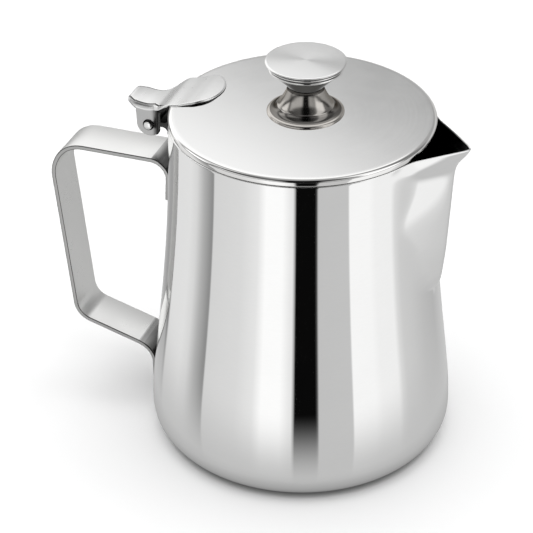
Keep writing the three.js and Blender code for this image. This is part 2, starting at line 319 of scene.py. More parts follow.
def tidy_mesh(mesh: bpy.types.Mesh, sharp: float = 35.0, merge: float = WELD) -> None:
    """Welds doubles, points the faces outwards and shades the mesh smooth but for sharp edges.

    Args:
        mesh: Mesh to tidy.
        sharp: Angle in degrees past which an edge stays sharp.
        merge: Distance in millimetres within which vertices are welded.
    """
    work = bmesh.new()
    work.from_mesh(mesh)
    bmesh.ops.remove_doubles(work, verts=work.verts, dist=merge * MM)
    bmesh.ops.dissolve_degenerate(work, edges=work.edges, dist=merge * MM / 4)
    if work.calc_volume(signed=True) < 0:
        bmesh.ops.reverse_faces(work, faces=work.faces)
    work.to_mesh(mesh)
    work.free()
    mesh.shade_smooth()
    mesh.set_sharp_from_angle(angle=math.radians(sharp))


def ring_faces(rings: int, around: int, first: int = 0) -> list[tuple[int, ...]]:
    """Joins closed rings of equal count into quads.

    Args:
        rings: Number of rings.
        around: Points in each ring.
        first: Number of the first ring's first point.

    Returns:
        The faces.
    """
    faces = []
    for i in range(rings - 1):
        low, high = first + i * around, first + (i + 1) * around
        for k in range(around):
            after = (k + 1) % around
            faces.append((low + k, low + after, high + after, high + k))
    return faces


def add_uv(mesh: bpy.types.Mesh, place: Callable[[Vector], Point]) -> None:
    """Adds a UV map that is worked out from each vertex's place.

    Args:
        mesh: Mesh to map.
        place: Gives U and V for a place in millimetres.
    """
    layer = mesh.uv_layers.new(name="UVMap")
    for loop in mesh.loops:
        layer.data[loop.index].uv = place(mesh.vertices[loop.vertex_index].co / MM)


def add_painted_light(mesh: bpy.types.Mesh, painted_light: Callable[[bpy.types.MeshPolygon], float]) -> None:
    """Adds the painted light attribute: a share of light painted onto each face, which scales the metal's
    colour.

    Args:
        mesh: Mesh to paint the light and shade on.
        painted_light: Gives the share of light painted onto a face: below 1 for painted shade, above 1 for a
            painted highlight.
    """
    layer = mesh.attributes.new("painted_light", "FLOAT", "FACE")
    for face in mesh.polygons:
        layer.data[face.index].value = painted_light(face)


class Graph:
    """A node tree under construction."""

    def __init__(self, tree: bpy.types.NodeTree) -> None:
        """Starts from an empty tree."""
        self.tree = tree
        tree.nodes.clear()

    def add(self, kind: str, inputs: dict | None = None, **settings: object) -> bpy.types.Node:
        """Adds a node.

        Args:
            kind: The node's type.
            inputs: Values or source sockets by input name or number.
            settings: Properties of the node.

        Returns:
            The node.
        """
        node = self.tree.nodes.new(kind)
        for name, value in settings.items():
            setattr(node, name, value)
        for name, value in (inputs or {}).items():
            if isinstance(value, bpy.types.NodeSocket):
                self.tree.links.new(value, node.inputs[name])
            else:
                node.inputs[name].default_value = value
        return node

    def maths(self, operation: str, *values: object) -> bpy.types.NodeSocket:
        """Adds a Math node of either kind of tree.

        Args:
            operation: The operation's name.
            values: Numbers or sockets.

        Returns:
            The result's socket.
        """
        node = self.add("ShaderNodeMath", dict(enumerate(values)), operation=operation)
        return node.outputs[0]

    def ease(
        self, value: bpy.types.NodeSocket, limits: Point, levels: Point = (0.0, 1.0),
    ) -> bpy.types.NodeSocket:
        """Adds a smooth Map Range node.

        Args:
            value: Socket to map.
            limits: From what to what the value runs.
            levels: What it is mapped to.

        Returns:
            The result's socket.
        """
        inputs = {"Value": value, "From Min": limits[0], "From Max": limits[1]}
        inputs |= {"To Min": levels[0], "To Max": levels[1]}
        node = self.add("ShaderNodeMapRange", inputs, interpolation_type="SMOOTHSTEP")
        return node.outputs["Result"]

    def blend(
        self, share: bpy.types.NodeSocket, first: Sequence[float], last: Sequence[float],
    ) -> bpy.types.NodeSocket:
        """Adds a blend of two colours.

        Args:
            share: Socket with the last colour's share.
            first: Colour at 0.
            last: Colour at 1.

        Returns:
            The colour's socket.
        """
        node = self.add("ShaderNodeMix", {0: share, 6: (*first, 1), 7: (*last, 1)}, data_type="RGBA")
        return node.outputs[2]


# Finishes


@dataclass(frozen=True)
class Finish:
    """A steel finish.

    Attributes:
        name: Name of the material.
        colour: Colour of the metal, in linear light.
        roughness: Lowest and highest roughness.
        grain: How the surface was worked.
        depth: Depth of the finest lines in micrometres.
        lines: Lines for each unit of the UV map's V.
        fan: How much the turning marks stretch the highlights.
        shows_painted_light: Whether the piece's painted light attribute darkens the metal with painted shade
            and brightens it with painted highlights.
    """

    name: str
    colour: Place
    roughness: Point
    grain: Grain = Grain.POLISHED
    depth: float = 0.2
    lines: float = 60.0
    fan: float = 0.0
    shows_painted_light: bool = False

    def material(self) -> bpy.types.Material:
        """Builds the material, or gives the one that was built before.

        Returns:
            The material.
        """
        made = bpy.data.materials.get(self.name)
        if made:
            return made
        made = bpy.data.materials.new(self.name)
        made.use_nodes = True
        graph = Graph(made.node_tree)
        coordinates = graph.add("ShaderNodeTexCoord")
        haze = graph.add("ShaderNodeTexNoise", {
            "Vector": coordinates.outputs["Object"], "Scale": 55.0, "Detail": 5.0, "Roughness": 0.62,
        })
        marks = self._marks(graph, coordinates)
        blend = graph.maths("MULTIPLY_ADD", marks, 0.45, graph.maths("MULTIPLY", haze.outputs["Fac"], 0.55))
        rough = graph.ease(blend, (0.3, 0.7), self.roughness)
        shade = graph.blend(graph.ease(blend, (0.25, 0.75)), [0.975 * c for c in self.colour], self.colour)
        # Painted light: the piece's attribute scales the colour, down for painted shade, up for a painted
        # highlight.
        if self.shows_painted_light:
            painted_light = graph.add("ShaderNodeAttribute", attribute_name="painted_light")
            scaled = graph.add("ShaderNodeVectorMath", {
                0: shade, "Scale": painted_light.outputs["Fac"],
            }, operation="SCALE")
            shade = scaled.outputs["Vector"]
        bump = graph.add("ShaderNodeBump", {
            "Strength": 1.0, "Distance": self.depth * MM * MM, "Height": marks,
        })
        steel = graph.add("ShaderNodeBsdfPrincipled", {
            "Base Color": shade, "Metallic": 1.0, "Roughness": rough, "Normal": bump.outputs["Normal"],
        })
        # The painted shade also darkens the tint at grazing angles.
        if self.shows_painted_light:
            made.node_tree.links.new(shade, steel.inputs["Specular Tint"])
        if self.fan:
            steel.inputs["Anisotropic"].default_value = self.fan
            tangent = graph.add("ShaderNodeTangent", direction_type="UV_MAP", uv_map="UVMap")
            made.node_tree.links.new(tangent.outputs[0], steel.inputs["Tangent"])
        graph.add("ShaderNodeOutputMaterial", {"Surface": steel.outputs[0]})
        return made

    def _marks(self, graph: Graph, coordinates: bpy.types.Node) -> bpy.types.NodeSocket:
        """Adds the fine lines that the tool left.

        Args:
            graph: The material's tree.
            coordinates: Its Texture Coordinate node.

        Returns:
            A socket that runs from 0 to 1 over the lines.
        """
        source = "Object" if self.grain is Grain.POLISHED else "UV"
        stretch = {
            Grain.POLISHED: (260.0, 260.0, 1400.0),
            Grain.ALONG: (6.0, self.lines, 1.0),
            Grain.TURNED: (self.lines, 1.5, 1.0),
        }[self.grain]
        mapping = graph.add("ShaderNodeMapping", {"Vector": coordinates.outputs[source], "Scale": stretch})
        noise = graph.add("ShaderNodeTexNoise", {
            "Vector": mapping.outputs["Vector"], "Scale": 1.0, "Detail": 3.0, "Roughness": 0.7,
        })
        return noise.outputs["Fac"]


POLISHED_BODY = Finish("polished_body", (0.9, 0.9, 0.895), (0.022, 0.04), depth=0.02)
SATIN_INSIDE = Finish("satin_inside", (0.8, 0.8, 0.795), (0.14, 0.22), depth=0.1, shows_painted_light=True)
SATIN_LID = Finish("satin_lid", (0.9, 0.9, 0.895), (0.13, 0.17), Grain.TURNED, depth=0.04, lines=240.0)
SATIN_STRAP = Finish(
    "satin_strap", (0.88, 0.88, 0.87), (0.26, 0.34), Grain.ALONG, depth=0.12, lines=160.0, shows_painted_light=True,
)
SATIN_LEAF = Finish("satin_leaf", (0.9, 0.9, 0.895), (0.26, 0.32), depth=0.06, shows_painted_light=True)
PLAIN_STEEL = Finish("plain_steel", (0.62, 0.62, 0.61), (0.3, 0.45), depth=0.5)
BRIGHT_PIN = Finish("bright_pin", (0.9, 0.9, 0.895), (0.03, 0.06), depth=0.05, shows_painted_light=True)
BRUSHED_TOP = Finish(
    "brushed_top", (0.92, 0.92, 0.915), (0.2, 0.26), Grain.TURNED, depth=0.3, lines=300.0, fan=0.8,
)
TURNED_NICKEL = Finish(
    "turned_nickel", (0.46, 0.44, 0.415), (0.12, 0.18), Grain.TURNED, depth=0.3, lines=200.0, shows_painted_light=True,
)
BRIGHT_EDGE = Finish("bright_edge", (0.9, 0.895, 0.885), (0.04, 0.08), Grain.TURNED, depth=0.03, shows_painted_light=True)


# Geometry Nodes


class TreeMaker(ABC):
    """Builds a Geometry Nodes tree once and turns its result into plain meshes.

    Attributes:
        name: Name of the tree.
        inputs: Kind of each of its inputs, by name.
    """

    name: str
    inputs: dict[str, str]

    def tree(self) -> bpy.types.NodeTree:
        """Gives the tree, built at the first call.

        Returns:
            The node tree.
        """
        made = bpy.data.node_groups.get(self.name)
        if made:
            return made
        made = bpy.data.node_groups.new(self.name, "GeometryNodeTree")
        made.interface.new_socket("Geometry", in_out="INPUT", socket_type="NodeSocketGeometry")
        for name, kind in self.inputs.items():
            made.interface.new_socket(name, in_out="INPUT", socket_type=kind)
        made.interface.new_socket("Geometry", in_out="OUTPUT", socket_type="NodeSocketGeometry")
        graph = Graph(made)
        source = graph.add("NodeGroupInput")
        shape = self.shape(graph, source)
        real = graph.add("GeometryNodeRealizeInstances", {"Geometry": shape})
        smooth = graph.add("GeometryNodeSetShadeSmooth", {"Geometry": real.outputs[0]})
        dressed = graph.add("GeometryNodeSetMaterial", {
            "Geometry": smooth.outputs[0], "Material": source.outputs["Material"],
        })
        graph.add("NodeGroupOutput", {"Geometry": dressed.outputs[0]})
        return made

    @abstractmethod
    def shape(self, graph: Graph, source: bpy.types.Node) -> bpy.types.NodeSocket:
        """Adds the nodes that make the shape.

        Args:
            graph: The tree.
            source: Its Group Input node.

        Returns:
            The shape's socket.
        """

    def make(self, name: str, start: bpy.types.Mesh, finish: Finish, **values: float) -> bpy.types.Object:
        """Runs the tree on a starting mesh and keeps the result as a plain mesh.

        Args:
            name: Name of the piece.
            start: Mesh that the tree starts from.
            finish: Finish of the piece.
            values: Inputs of the tree by name, with _ for a space.

        Returns:
            The piece, without a modifier.
        """
        carrier = new_piece(name + "_start", start)
        modifier = carrier.modifiers.new("shape", "NODES")
        modifier.node_group = self.tree()
        wanted = {key.replace("_", " "): value for key, value in values.items()}
        wanted["Material"] = finish.material()
        for item in modifier.node_group.interface.items_tree:
            if item.in_out == "INPUT" and item.name in wanted:
                modifier[item.identifier] = wanted[item.name]
        graph = bpy.context.evaluated_depsgraph_get()
        mesh = bpy.data.meshes.new_from_object(
            carrier.evaluated_get(graph), preserve_all_data_layers=True, depsgraph=graph,
        )
        bpy.data.objects.remove(carrier)
        mesh.materials.clear()
        mesh.materials.append(finish.material())
        for face in mesh.polygons:
            face.material_index = 0
        return new_piece(name, mesh)


class TurnedForm(TreeMaker):
    """Turns a profile, a chain of vertices in the XZ plane, round the Z axis."""

    name = "turned_form"
    inputs = {"Columns": "NodeSocketInt", "Material": "NodeSocketMaterial"}

    def shape(self, graph: Graph, source: bpy.types.Node) -> bpy.types.NodeSocket:
        """Adds a grid whose rows take their places from the profile.

        Args:
            graph: The tree.
            source: Its Group Input node.

        Returns:
            The shape's socket.
        """
        profile = source.outputs["Geometry"]
        count = graph.add("GeometryNodeAttributeDomainSize", {"Geometry": profile}, component="MESH")
        rows = count.outputs["Point Count"]
        across = graph.maths("ADD", source.outputs["Columns"], 1.0)
        grid = graph.add("GeometryNodeMeshGrid", {
            "Size X": 1.0, "Size Y": 1.0, "Vertices X": rows, "Vertices Y": across,
        })
        kept = graph.add("GeometryNodeStoreNamedAttribute", {
            "Geometry": grid.outputs["Mesh"], "Name": "UVMap", "Value": grid.outputs["UV Map"],
        }, data_type="FLOAT2", domain="CORNER")
        here = graph.add("ShaderNodeSeparateXYZ", {0: graph.add("GeometryNodeInputPosition").outputs[0]})
        last_row = graph.maths("SUBTRACT", rows, 1.0)
        along = graph.maths("MULTIPLY", graph.maths("ADD", here.outputs["X"], 0.5), last_row)
        row = graph.maths("ROUND", along)
        angle = graph.maths("MULTIPLY", here.outputs["Y"], 2 * math.pi)
        sample = graph.add("GeometryNodeSampleIndex", {
            "Geometry": profile, "Value": graph.add("GeometryNodeInputPosition").outputs[0], "Index": row,
        }, data_type="FLOAT_VECTOR", domain="POINT")
        point = graph.add("ShaderNodeSeparateXYZ", {0: sample.outputs["Value"]})
        turned = graph.add("ShaderNodeCombineXYZ", {
            "X": graph.maths("MULTIPLY", point.outputs["X"], graph.maths("COSINE", angle)),
            "Y": graph.maths("MULTIPLY", point.outputs["X"], graph.maths("SINE", angle)),
            "Z": point.outputs["Z"],
        })
        placed = graph.add("GeometryNodeSetPosition", {
            "Geometry": kept.outputs[0], "Position": turned.outputs[0],
        })
        closed = graph.add("GeometryNodeMergeByDistance", {
            "Geometry": placed.outputs[0], "Distance": WELD * MM,
        })
        return closed.outputs[0]

    def turn(
        self, name: str, profile: Sequence[Point], finish: Finish, columns: int = 160,
        centre: Place = (0, 0, 0), sharp: float = 35.0,
    ) -> bpy.types.Object:
        """Makes a turned piece.

        Args:
            name: Name of the piece.
            profile: Radius and height of each point.
            finish: Finish of the piece.
            columns: Faces round the piece.
            centre: Where its axis stands and its heights start.
            sharp: Angle in degrees past which an edge stays sharp.

        Returns:
            The piece.
        """
        start = bpy.data.meshes.new(name + "_profile")
        start.from_pydata([(r * MM, 0, z * MM) for r, z in profile], [], [])
        piece = self.make(name, start, finish, Columns=columns)
        piece.data.transform(Matrix.Translation(Vector(centre) * MM))
        tidy_mesh(piece.data, sharp)
        return piece


class BentStrip(TreeMaker):
    """Sweeps a strip with rounded edges along a centre line and presses its feet to a round body."""

    name = "bent_strip"
    inputs = {
        "Width": "NodeSocketFloat", "Thickness": "NodeSocketFloat", "Edge Radius": "NodeSocketFloat",
        "Body Radius": "NodeSocketFloat", "Material": "NodeSocketMaterial",
    }

    def shape(self, graph: Graph, source: bpy.types.Node) -> bpy.types.NodeSocket:
        """Adds the sweep.

        Args:
            graph: The tree.
            source: Its Group Input node.

        Returns:
            The shape's socket.
        """
        line = graph.add("GeometryNodeMeshToCurve", {"Mesh": source.outputs["Geometry"]})
        section = graph.add("GeometryNodeCurvePrimitiveQuadrilateral", {
            "Width": source.outputs["Width"], "Height": source.outputs["Thickness"],
        })
        soft = graph.add("GeometryNodeFilletCurve", {
            "Curve": section.outputs[0], "Radius": source.outputs["Edge Radius"], "Count": 5,
        }, mode="POLY")
        swept = graph.add("GeometryNodeCurveToMesh", {
            "Curve": line.outputs[0], "Profile Curve": soft.outputs[0], "Fill Caps": True,
        })
        hug = graph.add("GeometryNodeInputNamedAttribute", {"Name": "hug"}, data_type="FLOAT")
        here = graph.add("ShaderNodeSeparateXYZ", {0: graph.add("GeometryNodeInputPosition").outputs[0]})
        sag = graph.maths(
            "DIVIDE", graph.maths("POWER", here.outputs["Y"], 2.0),
            graph.maths("MULTIPLY", source.outputs["Body Radius"], 2.0),
        )
        shift = graph.add("ShaderNodeCombineXYZ", {"X": graph.maths("MULTIPLY", sag, hug.outputs[0])})
        pressed = graph.add("GeometryNodeSetPosition", {
            "Geometry": swept.outputs[0], "Offset": shift.outputs[0],
        })
        return pressed.outputs[0]


class ThreadedRod(TreeMaker):
    """A rod along Z whose surface rises and falls along a screw line."""

    name = "threaded_rod"
    inputs = {
        "Radius": "NodeSocketFloat", "Length": "NodeSocketFloat", "Pitch": "NodeSocketFloat",
        "Depth": "NodeSocketFloat", "Material": "NodeSocketMaterial",
    }

    def shape(self, graph: Graph, source: bpy.types.Node) -> bpy.types.NodeSocket:
        """Adds the rod and its screw line.

        Args:
            graph: The tree.
            source: Its Group Input node.

        Returns:
            The shape's socket.
        """
        turns = graph.maths("DIVIDE", source.outputs["Length"], source.outputs["Pitch"])
        rod = graph.add("GeometryNodeMeshCylinder", {
            "Vertices": 28, "Side Segments": graph.maths("MULTIPLY", turns, 8.0),
            "Radius": source.outputs["Radius"], "Depth": source.outputs["Length"],
        })
        here = graph.add("ShaderNodeSeparateXYZ", {0: graph.add("GeometryNodeInputPosition").outputs[0]})
        angle = graph.maths("ARCTAN2", here.outputs["Y"], here.outputs["X"])
        rise = graph.maths("DIVIDE", here.outputs["Z"], source.outputs["Pitch"])
        phase = graph.maths("SUBTRACT", rise, graph.maths("DIVIDE", angle, 2 * math.pi))
        wave = graph.maths("PINGPONG", phase, 0.5)
        deep = graph.maths("MULTIPLY", wave, source.outputs["Depth"])
        shrink = graph.maths("DIVIDE", deep, source.outputs["Radius"])
        keep = graph.maths("SUBTRACT", 1.0, graph.maths("MULTIPLY", shrink, 2.0))
        place = graph.add("ShaderNodeCombineXYZ", {
            "X": graph.maths("MULTIPLY", here.outputs["X"], keep),
            "Y": graph.maths("MULTIPLY", here.outputs["Y"], keep), "Z": here.outputs["Z"],
        })
        cut = graph.add("GeometryNodeSetPosition", {
            "Geometry": rod.outputs["Mesh"], "Position": place.outputs[0],
        })
        return cut.outputs[0]


TURNED = TurnedForm()
STRIP = BentStrip()
THREAD = ThreadedRod()


# Sub-assemblies


class SubAssembly(ABC):
    """A group of pieces that ride on one body.

    Attributes:
        body: The moving body that they ride on.
    """

    body: Body

    @abstractmethod
    def build(self) -> list[bpy.types.Object]:
        """Builds and dresses the pieces.

        Returns:
            The pieces, each already set to what it replaces.
        """

    def settle(self, piece: bpy.types.Object, node: str, slot: Slot) -> bpy.types.Object:
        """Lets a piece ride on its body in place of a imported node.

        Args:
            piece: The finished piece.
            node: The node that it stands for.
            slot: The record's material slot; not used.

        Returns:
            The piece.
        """
        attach(piece, self.body.value)
        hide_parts(node)
        LOG.info("%s on %s: %d faces", piece.name, self.body.value, len(piece.data.polygons))
        return piece


@dataclass
class BodyShape:
    """The drawn and pressed outer surface of the body.

    Attributes:
        sizes: Shared sizes.
        belly_height: Height at which the body is widest.
        base_radius: Radius of the flat that the pot stands on.
        lean_share: How steeply the wall leaves the belly, against a cone.
        ease_share: How much of the wall's height the belly takes to turn into it.
        tail_height: Height of the low end of the pressed V.
        flank_blend: Width of the hollow where a flank runs into the body.
        nose_share: How blunt the V is.
        height_shares: Heights between the tail and the rim.
        reach_shares: Reach of the nose at those heights, against the tip's.
        spread_shares: How widely the flanks spread at those heights.
        tip_drop: How far the spout's tip lies below the rim.
    """

    sizes: Sizes
    belly_height: float = 13.0
    base_radius: float = 60.4
    lean_share: float = 2.375
    ease_share: float = 0.1
    tail_height: float = 88.0
    flank_blend: float = 2.6
    nose_share: float = 0.0225
    height_shares: tuple[float, ...] = (0, 0.033, 0.072, 0.15, 0.288, 0.458, 0.627, 0.792, 0.893, 0.941, 1)
    reach_shares: tuple[float, ...] = (0, 0.1, 0.18, 0.262, 0.365, 0.452, 0.526, 0.588, 0.71, 0.86, 1)
    spread_shares: tuple[float, ...] = (1.8, 1.8, 1.8, 1.8, 1.78, 1.72, 1.62, 1.4, 1.26, 1.12, 0.94)
    tip_drop: float = 0.6

    def __post_init__(self) -> None:
        """Fits the splines through the spout's tables."""
        self._reach = spline_through(self.height_shares, self.reach_shares)
        self._spread = spline_through(self.height_shares, self.spread_shares)

    def radius(self, height: float) -> float:
        """Gives the outer radius without the spout, at a height.

        Args:
            height: Height above the table.

        Returns:
            The radius.
        """
        if height <= 0:
            return self.base_radius
        out = self.sizes.belly_radius - self.base_radius
        if height < self.belly_height:
            return self.base_radius + out * math.sqrt(1 - (1 - height / self.belly_height) ** 2)
        up = min((height - self.belly_height) / (self.sizes.rim_height - self.belly_height), 1)
        return self.sizes.rim_radius + (self.sizes.belly_radius - self.sizes.rim_radius) * self._taper(up)

    def _taper(self, up: float) -> float:
        """Gives how much of the belly's extra radius is left at a share of the way up.

        Args:
            up: Share of the way from the belly to the rim.

        Returns:
            The share that is left.
        """
        def eased(place: float) -> float:
            """Starts the lean gently."""
            return place - self.ease_share * (1 - math.exp(-place / self.ease_share))

        return 1 - self.lean_share * eased(up) - (1 - self.lean_share * eased(1)) * up * up

    def press(self, angle: np.ndarray, height: float) -> np.ndarray:
        """Gives how far the spout stands out of the round body.

        Args:
            angle: Angles round the axis in radians, 0 at the spout.
            height: Height above the table.

        Returns:
            The extra radius at each angle.
        """
        up = (height - self.tail_height) / (self.sizes.rim_height - self.tail_height)
        if up <= 0:
            return np.zeros_like(angle)
        body = self.radius(height)
        reach = (self.sizes.spout_tip - self.sizes.rim_radius) * float(self._reach(up))
        spread = float(self._spread(up))
        if reach <= 0:
            return np.zeros_like(angle)
        apex = (body + reach) * (self.nose_share + spread) / spread
        side = np.hypot(np.sin(angle), self.nose_share)
        stand = spread * apex / (side + spread * np.cos(angle)) - body
        closest = spread * apex / math.hypot(1, spread)
        blend = max(min(self.flank_blend, reach, body - closest), 1e-6)
        eased = np.where(stand >= blend, stand, np.clip(stand + blend, 0, None) ** 2 / (4 * blend))
        return np.where(np.abs(angle) > math.atan(1 / spread), 0, eased)


@dataclass
class PotBody(SubAssembly):
    """The one-piece sheet vessel.

    Attributes:
        sizes: Shared sizes.
        wall: Sheet thickness at the wall.
        floor: Sheet thickness at the floor.
        foot_width: Width of the ring that stands on the table.
        foot_rise: How far the middle of the base is raised.
        columns: Columns round the vessel.
        crowding: How strongly the columns gather at the spout.
        inner_corner: Steps in from the wall, and heights above the floor, of the corner inside.
        inside_painted_shade: Painted shade inside: share of light that the inside keeps, deep in the pot and
            at the spout's tip.
        tip_from: Distances from the axis of those two.
        shape: Its outer surface.
    """

    sizes: Sizes
    wall: float = 1.0
    floor: float = 1.4
    foot_width: float = 6.0
    foot_rise: float = 0.5
    columns: int = 288
    crowding: float = 0.8
    inner_corner: tuple[Point, ...] = ((1.2, 0.6), (2.6, 0.15), (4.4, 0))
    inside_painted_shade: Point = (0.16, 0.91)
    tip_from: Point = (66.0, 78.0)
    body: Body = Body.POT
    shape: BodyShape = field(init=False)

    def __post_init__(self) -> None:
        """Prepares the outer surface."""
        self.shape = BodyShape(self.sizes)

    def _outer_heights(self) -> list[float]:
        """Lists the heights of the outer rows, close together where the shape turns quickly.

        Returns:
            The rising heights.
        """
        shape, rim = self.shape, self.sizes.rim_height
        turn = np.linspace(0, math.pi / 2, 22)
        corner = shape.belly_height * (1 - np.cos(turn))
        up = np.linspace(0, 1, 30)[1:] ** 1.5
        wall = shape.belly_height + (shape.tail_height - shape.belly_height) * up
        part = np.linspace(0, 1, 58)[1:]
        part = part - 0.09 * np.sin(2 * math.pi * part)
        spout = shape.tail_height + (rim - self.wall / 2 - shape.tail_height) * part
        return [*corner, *wall, *spout]

    def _angles(self) -> np.ndarray:
        """Gives the angle of each column."""
        even = np.linspace(-math.pi, math.pi, self.columns, endpoint=False)
        return even - self.crowding * np.sin(even)

    def _row(self, height: float, inset: float, lift: float = 0.0) -> np.ndarray:
        """Places one row of vertices.

        Args:
            height: Height of the row on the outer surface.
            inset: How far inside the outer surface the row lies.
            lift: How much higher the row lies than its height.

        Returns:
            The row's places.
        """
        angle = self._angles()
        press = self.shape.press(angle, height)
        radius = self.shape.radius(height) + press - inset
        near_rim = smooth_step(height, self.sizes.rim_height - 14, self.sizes.rim_height)
        drop = self.shape.tip_drop * (press / (self.sizes.spout_tip - self.sizes.rim_radius)) ** 2 * near_rim
        return np.column_stack([radius * np.cos(angle), radius * np.sin(angle), height + lift - drop])

    def _disc_row(self, radius: float, height: float) -> np.ndarray:
        """Places a round row of vertices.

        Args:
            radius: Radius of the row.
            height: Height of the row.

        Returns:
            The row's places.
        """
        angle = self._angles()
        level = np.full(self.columns, height)
        return np.column_stack([radius * np.cos(angle), radius * np.sin(angle), level])

    def _rows(self) -> list[np.ndarray]:
        """Lists the rows from the middle of the base, up the outside, over the rim and down inside.

        Returns:
            The rows.
        """
        heights = self._outer_heights()
        edge = self.shape.base_radius - self.foot_width
        under = [(edge * part, self.foot_rise) for part in (0.02, 0.25, 0.5, 0.75, 0.98)]
        under += [(edge, self.foot_rise * 0.8), (edge + self.foot_rise, 0.1), (edge + 2 * self.foot_rise, 0)]
        rows = [self._disc_row(*place) for place in under]
        rows += [self._row(height, 0) for height in heights]
        top = heights[-1]
        for turn in np.linspace(0, math.pi, 9)[1:]:
            inset = self.wall / 2 * (1 - math.cos(turn))
            rows.append(self._row(top, inset, self.wall / 2 * math.sin(turn)))
        inner = [height for height in heights[::-1] if height > self.floor + 1.2][1:]
        rows += [self._row(height, self.wall) for height in inner]
        low = self.shape.radius(inner[-1]) - self.wall
        rows += [self._disc_row(low - step, self.floor + rise) for step, rise in self.inner_corner]
        rows += [self._disc_row(low * part, self.floor) for part in (0.7, 0.4, 0.15, 0.01)]
        return rows

    def build(self) -> list[bpy.types.Object]:
        """Builds the vessel, polished outside and satin inside.

        Returns:
            The vessel.
        """
        rows = self._rows()
        points = np.vstack(rows)
        faces = ring_faces(len(rows), self.columns)
        last = len(points) - self.columns
        faces += [tuple(range(self.columns))[::-1], tuple(range(last, last + self.columns))]
        mesh = polygon_mesh("pot_body", points, faces)
        tidy_mesh(mesh, 40)
        add_uv(mesh, lambda at: (math.atan2(at.y, at.x) / (2 * math.pi) + 0.5, at.z / self.sizes.rim_height))
        mesh.materials.append(POLISHED_BODY.material())
        mesh.materials.append(SATIN_INSIDE.material())
        for face in mesh.polygons:
            out = face.center.x * face.normal.x + face.center.y * face.normal.y
            inside = out < 0 and face.center.z > self.floor * 0.7 * MM
            floor = face.normal.z > 0.5 and face.center.z < self.shape.belly_height * MM
            face.material_index = int(inside or floor)
        # Painted shade: the inside is dark deep in the pot and lightens towards the spout's tip.
        deep, tip = self.inside_painted_shade
        edge = self.tip_from
        add_painted_light(mesh, lambda face: deep + (tip - deep) * float(smooth_step(face.center.x / MM, *edge)))
        return [self.settle(new_piece("pot_body", mesh), "body_shell", Slot.MIRROR)]


